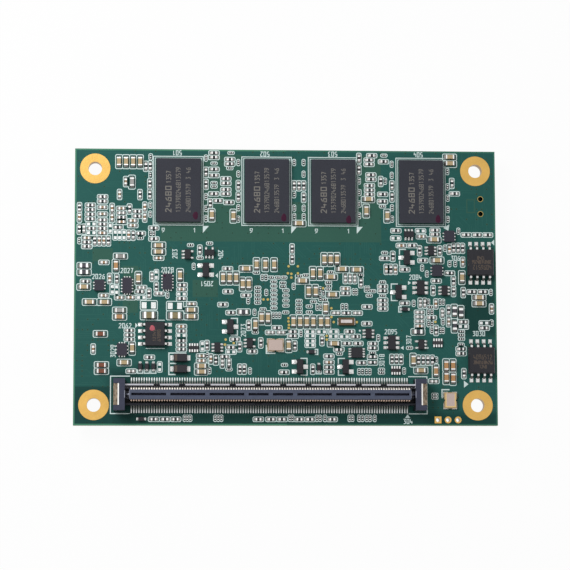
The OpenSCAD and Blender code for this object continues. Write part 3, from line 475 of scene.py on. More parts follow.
bright, at = metal("bright_lid", 0.38, 0.12, 0.04)
bright.set(Base_Color=bright.shade((0.56, 0.51, 0.50), 0.75 + bright.noise(at, 0.72, 3.0) * 0.5))
dress_node("watch_crystal_lid", bright)

# %% [markdown]
# Thin gold over nickel shines on the lands of the mounting holes. The walls of the holes get less
# light in the real part and look browner, so they are painted a darker, browner gold, as painted
# shade, found from the way that a face points. The small test points are duller and greener, and
# their walls get the same kind of painted shade.

# %% Gold plating
GOLD = (0.63, 0.385, 0.107)
# Painted shade: the darker, browner gold of the walls of the holes.
GOLD_SHADED_IN_HOLES = (0.30, 0.17, 0.05)


def gold_plate(name, colour, inside):
    """Gold, with painted shade that makes the walls of the holes darker than the flat lands."""
    made, at = metal(name, 0.36, 0.40, 0.05)
    flat = made.ramp(abs(made.facing()[2]), 0.3, 0.7)
    # The colour of the walls, inside, is painted shade.
    made.set(Base_Color=made.shade(made.mix(flat, inside, colour),
                                   0.88 + made.noise(at, 2.4, 3.0) * 0.24))
    return made


dress("gold_plating", gold_plate("gold_over_nickel", GOLD, GOLD_SHADED_IN_HOLES))
dress_node("test_points", gold_plate("test_point_gold", (0.46, 0.36, 0.12), (0.10, 0.09, 0.03)))

# %% [markdown]
# The walls of the two pits at the right edge are painted near black, as painted shade for their
# dark hollow, and only a thin ring of duller gold shines.
# They are in one CAD node with the header holes, so the finish tells them apart by their place.

# %% Plated holes and pits
PIT_X = 37.0
PIT_Y = 10.0
holes, at = metal("hole_plating", 0.36, 0.40, 0.05)
x, y, _ = holes.parts_of(at)
on_top = holes.facing()[2] > 0.5
pit = (x > PIT_X) * (y > PIT_Y)
# Painted shade: near-black walls in the pits, and the shaded gold on the walls of the header
# holes.
pit_shade_and_ring = holes.mix(on_top, (0.012, 0.011, 0.008), (0.34, 0.27, 0.10))
holes.set(Base_Color=holes.mix(pit, holes.mix(on_top, GOLD_SHADED_IN_HOLES, GOLD), pit_shade_and_ring),
          Roughness=0.36 + pit * 0.2)
dress_node("plated_holes", holes)

# %% [markdown]
# Solder is bright where it lies flat, and its slopes are painted darker and browner: painted
# shade for the dark reflections of sloped solder, with a tint of flux. Separate materials for
# tops and sides would need the meshes cut, so this finish looks at which way a face points:
# upwards it is clean metal, sideways it carries the painted shade.

# %% Solder and tinned parts


def tinned(name, clean, slope_shade, rough, dimple):
    """A tinned surface, clean on its flat top, with painted shade and a tint of flux on its
    slopes.
    """
    made = Finish(name)
    at = made.place()
    flat = made.ramp(made.facing()[2], 0.80, 0.97)
    dull = made.noise(at, dimple * 3, 3.0)
    # Painted shade: the sideways faces get the darker, browner colour, with a tint of flux.
    made.set(Base_Color=made.shade(made.mix(flat, slope_shade, clean), 0.80 + dull * 0.40),
             Metallic=0.45 + flat * 0.55,
             Roughness=rough - 0.08 + made.noise(at, dimple * 2, 2.0) * 0.16)
    made.relief(made.noise(at, dimple, 2.0), dimple * 0.12)
    return made


SMALL_CLEAN, SMALL_SLOPE_SHADE = (0.76, 0.76, 0.75), (0.200, 0.176, 0.166)
dress("solder", tinned("bright_solder", (0.68, 0.69, 0.68), (0.30, 0.29, 0.28), 0.32, 0.30))
dress("tinned_leads", tinned("tinned_lead", (0.66, 0.66, 0.65), (0.22, 0.20, 0.19), 0.34, 0.20))
dress("tinned_ends",
      tinned("tinned_end_cap", (0.86, 0.86, 0.85), (0.40, 0.37, 0.355), 0.32, 0.18))
for name in ("tiny_part_ends", "resistor_array_ends"):
    dress_node(name, tinned(name + "_tin", SMALL_CLEAN, SMALL_SLOPE_SHADE, 0.36, 0.14))
dress_node("bare_lands",
           tinned("levelled_solder", (0.70, 0.72, 0.71), (0.22, 0.23, 0.22), 0.30, 0.26))

# %% [markdown]
# The hold-down clips are stamped from thin sheet. Their face is brushed and dull, and the raised
# inner rim is painted pale, a painted highlight where its edge would catch the light. The brush
# marks are noise drawn out in one direction.

# %% Hold-down clips
SHEET = (0.24, 0.19, 0.14)
clip = Finish("clip_sheet", Metallic=1.0)
where = clip.place()
clip_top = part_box("left_hold_down")[1][2] / MM
# Painted highlight: the raised inner rim is painted pale.
rim_highlight = clip.ramp(clip.parts_of(where)[2], clip_top - 0.06, clip_top - 0.03)
brushed = clip.noise(where, 0.50, 3.0, (2.0, 0.6, 1.0))
clip.set(Base_Color=clip.mix(rim_highlight, clip.shade(SHEET, brushed ** 2.0 * 3.0),
                             (0.74, 0.73, 0.70)),
         Roughness=0.40 + brushed * 0.15)
clip.relief(brushed, 0.03)
dress("clip_metal", clip)

# %% [markdown]
# The contacts of the connector are gold where they touch the other half, and tinned at the feet.
# One finish does both, and changes with height. The middle of the connector is read from the
# housing, since the rear row's tips and feet are painted brighter than the front row's, as
# painted light, and the tin where the contacts run in by the housing is painted dark, as painted
# shade.

# %% Contacts, gold at the tips
housing_low, housing_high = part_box("connector_housing")
CONNECTOR_X = (housing_low[0] + housing_high[0]) / 2 / MM
CONNECTOR_Y = (housing_low[1] + housing_high[1]) / 2 / MM
HOUSING_TOP = housing_high[2] / MM
contact = Finish("plated_contact", Metallic=1.0)
where = contact.place()
_, y, z = contact.parts_of(where)
tip = contact.ramp(z, HOUSING_TOP - 1.6, HOUSING_TOP - 0.9)
# Painted light: the rear row's gold tips and feet are brighter than the front row's.
lit_rear_row = contact.ramp(y, CONNECTOR_Y - 0.2, CONNECTOR_Y + 0.2)
gold = contact.mix(lit_rear_row, (0.52, 0.38, 0.30), (1.0, 0.92, 0.82))
# Painted shade: the tin is dark near the housing and bright on the outer feet.
foot = contact.ramp(abs(y - CONNECTOR_Y), 2.5, 3.1)
painted_lit_foot = contact.mix(lit_rear_row, (0.54, 0.55, 0.55), (0.70, 0.74, 0.73))
tin = contact.mix(foot, (0.17, 0.17, 0.16), painted_lit_foot)
contact.set(Base_Color=contact.shade(contact.mix(tip, tin, gold),
                                     0.85 + contact.noise(where, 0.9, 2.0) * 0.3),
            Roughness=0.36)
contact.relief(contact.noise(where, 0.08, 2.0), 0.004)
dress("contact_metal", contact)
print("middle of the connector:", round(CONNECTOR_X, 2), round(CONNECTOR_Y, 2))

# %% [markdown]
# ## Moulded plastics
# Chips are moulded in black epoxy filled with glass powder, which leaves a fine grain and a
# slightly cloudy tone. A flat black would look like a hole in the board, so the tone and the
# grain change from place to place.

# %% Plastic finishes


def plastic(name, colour, rough, grain, bump):
    """A moulded plastic with a grain of a size, and bumps of a height, in millimetres."""
    made = Finish(name, Specular_IOR_Level=0.25)
    at = made.place()
    speck = made.noise(at, grain, 3.0)
    made.set(Base_Color=made.shade(colour, 0.50 + made.noise(at, 3.5, 3.0) * 0.30 + speck * 0.70),
             Roughness=rough - 0.05 + speck * 0.10)
    made.relief(speck, bump)
    return made


for slot, name, colour, rough, grain, bump in (
        ("memory_plastic", "memory_moulding", (0.031, 0.033, 0.045), 0.60, 0.24, 0.008),
        ("chip_plastic", "chip_moulding", (0.023, 0.023, 0.028), 0.55, 0.20, 0.006),
        ("leadless_plastic", "leadless_moulding", (0.036, 0.034, 0.050), 0.50, 0.20, 0.005),
        ("diode_plastic", "diode_moulding", (0.030, 0.029, 0.035), 0.55, 0.18, 0.005),
        ("green_substrate", "chip_substrate", (0.022, 0.075, 0.035), 0.45, 0.12, 0.004)):
    dress(slot, plastic(name, colour, rough, grain, bump))

# %% [markdown]
# The connector is a harder, bluish plastic, and light and shade are painted into its colour: its
# top faces are painted lighter, as lit, its deep parts are painted dark, as shade, and the thin
# rim of the rear wall and a sloped face beside each end of the tongue get a painted highlight.
# All this is one moulding, so each of its parts is found by height, by place and by the way it
# faces.

# %% Parts of the connector's moulding
TONGUE_HALF = 27.6
NOTCH_FLOOR = 1.16
END_BLOCK = 2.35
housing = Finish("connector_moulding", Specular_IOR_Level=0.15)
where = housing.place()
x, y, z = housing.parts_of(where)
_, rearward, up = housing.facing()
behind = y - CONNECTOR_Y
aside = abs(x - CONNECTOR_X)
block_from = (housing_high[0] - housing_low[0]) / 2 / MM - END_BLOCK
# Painted light and shade: top faces get the lit tones, and everything below them is painted dark
# as shade.
high = housing.ramp(z, HOUSING_TOP - 0.45, HOUSING_TOP - 0.30) * housing.ramp(up, 0.3, 0.7)
# Painted highlight on the thin rim of the rear wall.
wall_rim_highlight = (housing.ramp(behind, 1.60, 1.70)
            * housing.ramp(z, HOUSING_TOP - NOTCH_FLOOR, HOUSING_TOP - NOTCH_FLOOR + 0.04)
            * (1 - high) * (1 - housing.ramp(rearward, 0.3, 0.7)))
# Painted glint on the sloped face beside each end of the tongue.
wedge = ((aside > TONGUE_HALF) * (aside < TONGUE_HALF + 1.0) * (abs(behind) < 0.7)
         * housing.ramp(up, 0.2, 0.4))
# Painted tones: the slot walls a little lighter than the deep parts, and a pale strip just inside
# the rear wall.
slot_wall = (1 - housing.ramp(abs(behind), 0.30, 0.34)) * (1 - high)
lit_floor_strip = housing.ramp(behind, 1.20, 1.30) * (behind < 1.72) * (1 - high)
end_block = housing.ramp(aside, block_from, block_from + 0.05)
print("end blocks begin", round(block_from, 2), "mm from the connector's middle")

# %% [markdown]
# The painted tones of light and shade go over each other from the darkest to the palest, and
# faint streaks, along which the plastic flowed into the mould, run over them all.

# %% Colours of the connector's moulding
streaks = housing.noise(where, 0.5, 3.0, (0.5, 1.6, 1.0))
# Deep parts get a near-black painted shade, and top faces get the lit blue, darker on the end
# blocks.
blue = housing.mix(high, (0.015, 0.016, 0.022),
                   housing.mix(end_block, (0.096, 0.112, 0.165), (0.060, 0.066, 0.102)))
for part, colour in ((slot_wall, (0.110, 0.118, 0.180)), (lit_floor_strip, (0.48, 0.485, 0.54)),
                     (wedge, (0.42, 0.44, 0.53))):
    blue = housing.mix(part, blue, colour)
blue = housing.shade(blue, 0.70 + streaks * 0.60)
housing.set(Base_Color=housing.mix(wall_rim_highlight, blue, (0.66, 0.665, 0.72)),
            Roughness=0.42 - high * 0.08)
housing.relief(streaks, 0.006)
dress("connector_plastic", housing)

# %% [markdown]
# ## Fired ceramics
# Small capacitors and resistors are sawn from fired sheets, so their colour changes a little
# from one part to the next, and along the sawn sides a faint streak shows the layers. A finish
# for each part would be hundreds. One finish with slow noise gives near parts different tones.

# %% Ceramic finishes


def fired(name, rough, shine):
    """A ceramic without its colour, and the place on it and its streaks."""
    made = Finish(name, Specular_IOR_Level=shine)
    at = made.place()
    streak = made.noise(at, 0.09, 2.0, (0.3, 0.3, 1.0))
    made.set(Roughness=rough - 0.06 + streak * 0.12)
    made.relief(made.noise(at, 0.05, 3.0), 0.004)
    return made, at, streak


def ceramic(name, colour, other, rough=0.45, shine=0.3):
    """A fired ceramic whose parts lie between two colours."""
    made, at, streak = fired(name, rough, shine)
    which = made.ramp(made.noise(at, 2.4, 1.0), 0.38, 0.62)
    made.set(Base_Color=made.shade(made.mix(which, colour, other), 0.84 + streak * 0.32))
    return made


print("finishes so far:", len(bpy.data.materials))

# %% [markdown]
# Each kind of part has its own two tones: tan and brown for capacitors, black for the glass
# over a resistor, dark grey for ferrite and pressed iron, gold for a crystal's plated case.

# %% Ceramics, kind by kind
for name, finish, colour, other in (
        ("ferrites", "ferrite", (0.095, 0.090, 0.105), (0.070, 0.068, 0.082)),
        ("small_capacitors", "small_capacitor_ceramic", (0.42, 0.24, 0.13), (0.36, 0.27, 0.18))):
    dress_node(name, ceramic(finish, colour, other))
for slot, finish, colour, other in (
        ("pale_ceramic", "pale_fired_ceramic", (0.42, 0.42, 0.40), (0.33, 0.32, 0.30)),
        ("red_brown_ceramic", "red_brown_ceramic", (0.23, 0.080, 0.045), (0.19, 0.066, 0.04)),
        ("olive_ceramic", "olive_ceramic", (0.27, 0.225, 0.115), (0.31, 0.26, 0.14)),
        ("dark_ceramic", "dark_fired_ceramic", (0.030, 0.028, 0.030), (0.060, 0.058, 0.062)),
        ("gold_ceramic", "crystal_case_ceramic", (0.52, 0.40, 0.25), (0.46, 0.33, 0.18)),
        ("brown_ceramic", "watch_crystal_ceramic", (0.145, 0.088, 0.042), (0.110, 0.065, 0.030)),
        ("pressed_iron", "pressed_iron_powder", (0.055, 0.055, 0.06), (0.07, 0.07, 0.074))):
    dress(slot, ceramic(finish, colour, other))
dress("resistor_coat",
      ceramic("resistor_overcoat", (0.014, 0.013, 0.016), (0.030, 0.028, 0.032), 0.34, 0.4))

# %% [markdown]
# The medium capacitors come from two reels, and those of one reel are more orange. They are
# told apart by where they stand on the board, with the rectangles made for the copper.

# %% Tan capacitors from two reels
ORANGE_PLACES = ((7.3, 30.5, 9.1, 32.7), (8.0, 20.6, 10.0, 22.2), (71.4, 8.4, 77.6, 14.6))
tan, at, _ = fired("tan_fired_ceramic", 0.45, 0.3)
x, y, _ = tan.parts_of(at)
orange = any_area(tan, x, y, ORANGE_PLACES)
tan.set(Base_Color=tan.shade(tan.mix(orange, (0.55, 0.42, 0.24), (0.56, 0.31, 0.14)),
                             0.84 + tan.noise(at, 0.09, 2.0) * 0.32))
dress("tan_ceramic", tan)

# %% [markdown]
# The processor's bare die is polished silicon: dark, smooth and almost a mirror. A perfect
# mirror would look like glass, so its smoothness changes a little from place to place.

# %% Silicon
silicon = Finish("polished_silicon", Metallic=0.7)
where = silicon.place()
silicon.set(Base_Color=silicon.shade((0.16, 0.17, 0.20),
                                     0.9 + silicon.noise(where, 4.0, 2.0) * 0.2),
            Roughness=0.10 + silicon.noise(where, 1.2, 3.0) * 0.08)
dress("silicon", silicon)

# %% [markdown]
# ## Finding the parts
# A CAD node such as `resistors` holds every resistor of the board. The ink round each part
# needs to know where each one lies. The places could be typed in again, but then they could
# differ from the model. So the node's mesh is taken apart into its loose pieces, and each
# gives its box, in millimetres on the board.

# %% Boxes of the loose pieces
WELD = 1e-6
TOP_SIDE = -0.1          # pieces that begin above this height are on the top side


def loose_boxes(name):
    """The boxes (left, front, right, rear, low, high) of a node's pieces on the top side."""
    bm = bmesh.new()
    bm.from_mesh(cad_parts[name].data)
    bmesh.ops.remove_doubles(bm, verts=bm.verts, dist=WELD)
    seen = set()
    boxes = []
    for first in bm.verts:
        if first in seen:
            continue
        seen.add(first)
        group = [first]
        for vert in group:
            for link in vert.link_edges:
                other = link.other_vert(vert)
                if other not in seen:
                    seen.add(other)
                    group.append(other)
        xs, ys, zs = zip(*((v.co - on_board(0, 0)) / MM for v in group))
        if min(zs) > TOP_SIDE:
            boxes.append((min(xs), min(ys), max(xs), max(ys), min(zs), max(zs)))
    bm.free()
    return boxes


def middle_of(box):
    return (box[0] + box[2]) / 2, (box[1] + box[3]) / 2


def shape_of(box):
    return box[2] - box[0], box[3] - box[1]


def around(boxes):
    """One box around several."""
    return tuple(min(b[i] for b in boxes) for i in (0, 1)) + tuple(
        max(b[i] for b in boxes) for i in (2, 3))


print("resistors on the top side:", len(loose_boxes("resistors")))

# %% [markdown]
# A two-ended part is a body with a tinned cap at each end. The bodies and the caps are in
# different nodes, so each body is joined with the two nearest caps that touch it. The box
# round the three is the part's footprint.

# %% Footprints of the two-ended parts
BODIES = ("resistors", "small_capacitors", "pale_capacitors", "medium_capacitors",
          "brown_capacitors", "large_capacitors", "ferrites", "tiny_parts")
TOUCH = 0.04
end_boxes = [box for name in ("small_part_ends", "medium_part_ends", "tiny_part_ends")
             for box in loose_boxes(name)]


def touching(one, two):
    return all(one[k] - TOUCH < two[k + 2] and two[k] - TOUCH < one[k + 2] for k in (0, 1))


footprints = []
for name in BODIES:
    for body in loose_boxes(name):
        ends = sorted((box for box in end_boxes if touching(body, box)),
                      key=lambda b: math.dist(middle_of(b), middle_of(body)))[:2]
        footprints.append(around([body] + ends))
print("two-ended parts on the top side:", len(footprints))

# %% [markdown]
# The lid of the smaller crystal is soldered to a gold ring on its case, and the ring shows on
# three sides of the lid. It is too thin to need a solid of its own, so the lid's finish turns
# gold outside a rectangle. The larger crystal's lid, in the same node, stays plain.

# %% Lids of the crystals
RING_W = 0.24
LID = (0.44, 0.355, 0.32)
lid = min(loose_boxes("crystal_lids"), key=lambda b: b[1])
framed, at = metal("framed_lid", 0.42, 0.30, 0.05)
x, y, _ = framed.parts_of(at)
inner = area(framed, x, y, (lid[0] + RING_W, lid[1] + RING_W, lid[2] - RING_W, lid[3]), 0.04)
smaller_one = (x > lid[0] - 1 - BOARD_W / 2) * (x < lid[2] + 1 - BOARD_W / 2)
framed.set(Base_Color=framed.mix(smaller_one * (1 - inner), LID, (0.60, 0.44, 0.20)))
dress_node("crystal_lids", framed)

# %% [markdown]
# Bare lands come in pairs too, where a part was left out. Two lands belong together when they
# lie in one line and their middles are one land pattern apart. A small land is longer in the
# direction of its pair, and a large one across it.

# %% Pairs of bare lands
SMALL_STEP = 1.10
LARGE_STEP = 1.85
SMALL_LAND = 0.7
EXACT = 0.01
lands = loose_boxes("bare_lands")
bare_pairs = []
for i, one in enumerate(lands):
    for two in lands[i + 1:]:
        apart = [abs(a - b) for a, b in zip(middle_of(one), middle_of(two))]
        wide, deep = shape_of(one)
        small = max(wide, deep) < SMALL_LAND
        along = 0 if (wide > deep) == small else 1
        step = SMALL_STEP if small else LARGE_STEP
        if apart[1 - along] < EXACT and abs(apart[along] - step) < EXACT:
            bare_pairs.append(around([one, two]))
print("bare pairs:", len(bare_pairs), "of", len(lands), "lands")

# %% [markdown]
# ## White ink on the board
# The ink is printed through a fine mesh. A ring with round corners goes round each part, as an
# aid to whoever places it. A ring could keep one distance from its part, but neighbours would
# then be crossed by it. So where two rings would run close side by side, they share one line in
# the middle of the gap.

# %% Sides of a ring
SAME_LINE = 0.14
NARROW = 0.20
BESIDE = 0.15            # two parts are neighbours if they face each other this far
AHEAD = 0.02
BEYOND = 0.6             # a ring may share a line that ends this far away
in_rings = footprints + bare_pairs
ring_sides = []


def side_at(box, k, way, margin):
    """Where a ring's side lies: in the middle of a narrow gap, or a margin away."""
    edge_at = box[k + 2] if way > 0 else box[k]
    gap = math.inf
    for other in in_rings:
        overlap = min(box[3 - k], other[3 - k]) - max(box[1 - k], other[1 - k])
        ahead = other[k] - edge_at if way > 0 else edge_at - other[k + 2]
        if overlap > BESIDE and ahead > AHEAD:
            gap = min(gap, ahead)
    if gap < 2 * margin + NARROW:
        return edge_at + way * gap / 2
    at = edge_at + way * margin
    for other_k, other, start, end in ring_sides:
        if (other_k == k and abs(other - at) < SAME_LINE and start < box[3 - k] + BEYOND
                and box[1 - k] - BEYOND < end):
            return other
    ring_sides.append((k, at, box[1 - k], box[3 - k]))
    return at


print("parts and pairs to go round:", len(in_rings))

# %% [markdown]
# The four sides make a rectangle, and each of its corners is rounded with four points. More
# points would not show at this size, and there are hundreds of rings.

# %% Rings round the parts
CORNER = 0.26


def ring_path(box):
    """A ring round a part, as points of a closed path with round corners."""
    short = min(shape_of(box))
    margin = 0.17 if short < 0.4 else 0.21 if short < 0.7 else 0.27
    left, right = (side_at(box, 0, way, margin) for way in (-1, 1))
    front, rear = (side_at(box, 1, way, margin) for way in (-1, 1))
    r = min(CORNER, (right - left) * 0.45, (rear - front) * 0.45)
    points = []
    for cx, cy, first in ((right - r, rear - r, 0), (left + r, rear - r, 90),
                          (left + r, front + r, 180), (right - r, front + r, 270)):
        for turn in (0, 30, 60, 90):
            angle = math.radians(first + turn)
            points.append((cx + r * math.cos(angle), cy + r * math.sin(angle)))
    return points + points[:1]


rings = [ring_path(box) for box in in_rings]
print("rings:", len(rings))

# %% [markdown]
# Ink may not touch solder, or a part would not hold. The finished strips could be cut with a
# boolean, but that is slow with a thousand boxes. So every path is cut before it becomes a
# strip: wherever it would cross a land, a lead or a body, that length is left out.

# %% Cut the paths clear of the lands
CLEAR = 0.08
no_ink = list(footprints)
for name in ("bare_lands", "chip_lands", "test_points", "plated_holes", "mounting_hole_plating",
             "connector_housing", "rear_contacts", "front_contacts", "memory_substrates",
             "transistors", "regulators", "logic_gates", "leadless_chips", "leadless_chip_pads",
             "rear_flash_chip", "front_flash_chip", "flash_leads", "firmware_chip",
             "firmware_leads", "crystal_cases", "watch_crystal_case", "large_diodes",
             "large_diode_leads", "small_diodes", "small_diode_leads", "resistor_arrays",
             "resistor_array_ends"):
    no_ink += [box[:4] for box in loose_boxes(name)]


def part_inside(start, end, box):
    """Where a straight line enters and leaves a box, as shares of its length, or None."""
    enter, leave = 0.0, 1.0
    for k in (0, 1):
        step = end[k] - start[k]
        low, high = box[k] - CLEAR, box[k + 2] + CLEAR
        if abs(step) < 1e-9:
            if not low < start[k] < high:
                return None
        else:
            first, last = sorted(((low - start[k]) / step, (high - start[k]) / step))
            enter, leave = max(enter, first), min(leave, last)
    return (enter, leave) if enter < leave else None


print("places without ink:", len(no_ink))

# %% [markdown]
# What is left of a path is a list of runs. The first and the last run of a ring are joined
# where they meet, so that no seam shows there.

# %% Runs of a path that stay clear


def clear_runs(path):
    """What is left of a path once the boxes that it crosses are cut out."""
    xs, ys = zip(*path)
    near = [b for b in no_ink if b[0] - CLEAR < max(xs) and min(xs) < b[2] + CLEAR
            and b[1] - CLEAR < max(ys) and min(ys) < b[3] + CLEAR]
    runs = []
    for start, end in zip(path, path[1:]):
        cuts = sorted(filter(None, (part_inside(start, end, box) for box in near)))
        done = 0.0
        for enter, leave in cuts + [(1.0, 1.0)]:
            if enter > done + 1e-6:
                ends = [tuple(a + (b - a) * share for a, b in zip(start, end))
                        for share in (done, enter)]
                if runs and done == 0.0 and math.dist(runs[-1][-1], start) < 1e-6:
                    runs[-1].append(ends[1])
                else:
                    runs.append(ends)
            done = max(done, leave)
    if len(runs) > 1 and math.dist(runs[0][0], runs[-1][-1]) < 1e-6:
        runs[0] = runs.pop() + runs[0][1:]
    return runs


def length_of(path):
    return sum(math.dist(a, b) for a, b in zip(path, path[1:]))


ring_runs = [clear_runs(path) for path in rings]
print("ink in the rings:", round(sum(length_of(run) for runs in ring_runs for run in runs)), "mm")

# %% [markdown]
# ## Ink as thin solids
# Ink that is only a picture vanishes when the model is exported, so each path becomes a thin
# closed strip, sunk a hair into the board. At a corner the two edges of the strip meet on the
# line that halves the angle, as in a picture frame. Plates and dots are prisms on an outline.

# %% Strips and plates
SUNK = 0.01
TALLEST_CORNER = 2.0


def prism(bm, outline, low, high):
    """A closed solid from an outline on the board, between two heights."""
    bottom = [bm.verts.new(on_board(px, py, low)) for px, py in outline]
    top = [bm.verts.new(on_board(px, py, high)) for px, py in outline]
    bm.faces.new(bottom[::-1])
    bm.faces.new(top)
    for i in range(len(outline)):
        j = (i + 1) % len(outline)
        bm.faces.new((bottom[i], bottom[j], top[j], top[i]))


def strip(bm, path, width, low, high):
    """A closed strip of a width along a path; a closed path makes a closed ring."""
    points = [tuple(path[0])]
    for point in path[1:]:
        if math.dist(point, points[-1]) > 1e-3:
            points.append(tuple(point))
    ring = len(points) > 3 and math.dist(points[0], points[-1]) < 2e-3
    if ring:
        points.pop()
    rows = []
    for i, point in enumerate(points):
        before = points[i - 1] if ring or i else point
        after = points[(i + 1) % len(points)] if ring or i < len(points) - 1 else point
        arrive = (Vector(point) - Vector(before)).normalized()
        depart = (Vector(after) - Vector(point)).normalized()
        along = (arrive + depart).normalized()
        bend = along.dot(depart if depart.length else arrive)
        reach = width / 2 * min(1 / max(bend, 0.01), TALLEST_CORNER)
        aside = Vector((-along.y, along.x)) * reach
        rows.append([bm.verts.new(on_board(*(Vector(point) + aside * way), up))
                     for way, up in ((1, high), (-1, high), (-1, low), (1, low))])
    pairs = list(zip(rows, rows[1:])) + ([(rows[-1], rows[0])] if ring else [])
    for one, two in pairs:
        for k in range(4):
            bm.faces.new((one[k], one[(k + 1) % 4], two[(k + 1) % 4], two[k]))
    if not ring:
        bm.faces.new(rows[0])
        bm.faces.new(rows[-1][::-1])


def round_outline(x, y, radius, sides):
    return [(x + radius * math.cos(2 * math.pi * i / sides),
             y + radius * math.sin(2 * math.pi * i / sides)) for i in range(sides)]


print("ink is sunk", SUNK, "mm into what carries it")

# %% [markdown]
# Every new piece is ended in the same way: its faces are turned outwards, it gets its finish, and
# it rides on the module. Ink is matte, and thinner in places, where what is below shows a little.

# %% Pieces and inks


def piece(name, bm, finish):
    """Ends a mesh: makes the object, dresses it, and lets it ride on the module."""
    bmesh.ops.recalc_face_normals(bm, faces=bm.faces)
    mesh = bpy.data.meshes.new(name)
    bm.to_mesh(mesh)
    bm.free()
    mesh.materials.append(finish.material)
    made = bpy.data.objects.new(name, mesh)
    bpy.context.collection.objects.link(made)
    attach(made, "root")
    print(name, "faces:", len(mesh.polygons))


def ink(name, colour, rough=0.6, thin=0.20):
    """Printed ink: matte, and thinner in places."""
    made = Finish(name, Specular_IOR_Level=0.2, Roughness=rough)
    at = made.place()
    made.set(Base_Color=made.shade(colour, 1 - thin + made.noise(at, 0.12, 3.0) * thin * 2))
    made.relief(made.noise(at, 0.06, 2.0), 0.004)
    return made


white_ink = ink("white_board_ink", (0.80, 0.95, 0.93))
print("white ink:", len(white_ink.tree.nodes), "nodes")

# %% [markdown]
# Rings that touch must not lie at exactly one height, or their tops would flicker through
# each other. So each ring is a thousandth of a millimetre higher or lower than the next.

# %% The rings as strips
LINE_W = 0.155
INK_HIGH = 0.016
SHORTEST_RUN = 0.25
ink_bm = bmesh.new()
for i, runs in enumerate(ring_runs):
    for run in runs:
        if length_of(run) > SHORTEST_RUN:
            strip(ink_bm, run, LINE_W, -SUNK, INK_HIGH + (i % 7) * 0.001)
print("faces of the rings:", len(ink_bm.faces))

# %% [markdown]
# ## Brackets and first-pin marks
# Larger chips get frames or brackets. A transistor has a bold bracket with a gap for its
# single lead. They are paths as the rings are, so they are cut clear of the lands in the same
# way, and each kind is a small function that is given its place.

# %% Frames and brackets
SHORTEST_MARK = 0.12


def mark(points, width=LINE_W):
    """A path of ink, cut clear of the lands."""
    for run in clear_runs(points):
        if length_of(run) > SHORTEST_MARK:
            strip(ink_bm, run, width, -SUNK, INK_HIGH + 0.008)


def frame_round(box, gap, width):
    left, front, right, rear = box[0] - gap, box[1] - gap, box[2] + gap, box[3] + gap
    mark([(left, front), (right, front), (right, rear), (left, rear), (left, front)], width)


def transistor_bracket(x, y, way):
    """A bold bracket round the single lead, which points to the right or the left."""
    end = x + way * 1.42
    for half in (1, -1):
        mark([(x + way * 0.1, y + half * 1.66), (end, y + half * 1.66), (end, y + half * 0.62)],
             0.22)


for box in loose_boxes("memory_substrates"):
    frame_round(box, 0.55, 0.17)
    frame_round(box, 0.20, 0.13)
for spot in ((30.85, 19.5, 1), (44.65, 11.6, 1), (53.7, 11.6, -1), (66.05, 33.45, -1),
             (64.35, 26.5, -1)):
    transistor_bracket(*spot)
print("faces with frames and brackets:", len(ink_bm.faces))

# %% [markdown]
# The other marks are single lines: on two sides of the firmware chip, round the ends of the
# connector, bold ones at the diodes, at a corner of each crystal, and beside the flash chips.
# They could be a call each. As rows of a table, the width of each line stands before its
# points, and all of them can be seen at once.

# %% Firmware chip, connector, diodes, crystals and flash chips
BOLD = 0.26
for width, points in (
        (LINE_W, ((14.2, 15.15), (17.9, 15.15))),
        (LINE_W, ((14.2, 20.75), (17.9, 20.75))),
        (0.2, ((11.1, 2.3), (7.3, 2.3), (7.3, 9.67), (11.1, 9.67))),
        (0.2, ((66.2, 2.3), (69.9, 2.3), (69.9, 9.67), (66.2, 9.67))),
        (BOLD, ((22.2, 14.25), (18.75, 14.25), (18.75, 10.0), (20.1, 10.0))),
        (BOLD, ((18.75, 12.2), (20.2, 12.2))),
        *((0.22, ((px - 0.5, 11.0), (px - 0.5, 10.25), (px + 0.5, 10.25), (px + 0.5, 11.0)))
          for px in (13.1, 14.4, 15.7)),
        (0.22, ((47.9, 10.9), (47.9, 10.2), (48.9, 10.2), (48.9, 10.9))),
        (0.22, ((47.6, 15.05), (48.2, 15.05), (48.2, 14.05), (47.6, 14.05))),
        (0.22, ((65.0, 22.55), (64.4, 22.55), (64.4, 23.65), (65.0, 23.65))),
        (0.24, ((38.0, 15.9), (38.0, 14.25), (39.8, 14.25))),
        (0.24, ((74.4, 7.1), (72.9, 7.1), (72.9, 5.4))),
        (LINE_W, ((78.05, 29.9), (78.05, 34.8))),
        (LINE_W, ((78.05, 10.4), (78.05, 12.2))),
        (LINE_W, ((78.05, 13.3), (78.05, 15.2)))):
    mark(points, width)
print("faces with the single lines:", len(ink_bm.faces))

# %% [markdown]
# A triangle or a dot shows where the first pin of a chip is, so that nobody turns the chip
# round. They are plates of ink, and they are sunk and raised as the lines are.

# %% First-pin marks
for triangle in (((65.5, 1.5), (66.5, 1.5), (66.0, 2.2)),
                 ((25.4, 39.6), (26.6, 39.6), (25.4, 38.2)),
                 ((43.0, 39.6), (44.2, 39.6), (43.0, 38.2)),
                 ((56.1, 39.6), (57.3, 39.6), (56.1, 38.2)),
                 ((73.5, 39.5), (74.7, 40.2), (74.5, 38.9)),
                 ((28.4, 30.2), (28.4, 29.2), (27.9, 29.7)),
                 ((12.1, 20.2), (12.1, 19.2), (12.6, 19.7)),
                 ((66.3, 28.8), (66.3, 28.0), (66.9, 28.4)),
                 ((65.3, 15.8), (65.3, 15.0), (64.7, 15.4)),
                 ((77.3, 8.9), (77.3, 7.5), (78.2, 8.2)),
                 ((83.7, 37.2), (83.7, 36.0), (83.1, 36.6))):
    prism(ink_bm, triangle, -SUNK, INK_HIGH + 0.005)
for spot in ((56.6, 18.8), (70.1, 15.4)):
    prism(ink_bm, round_outline(*spot, 0.2, 12), -SUNK, INK_HIGH + 0.006)
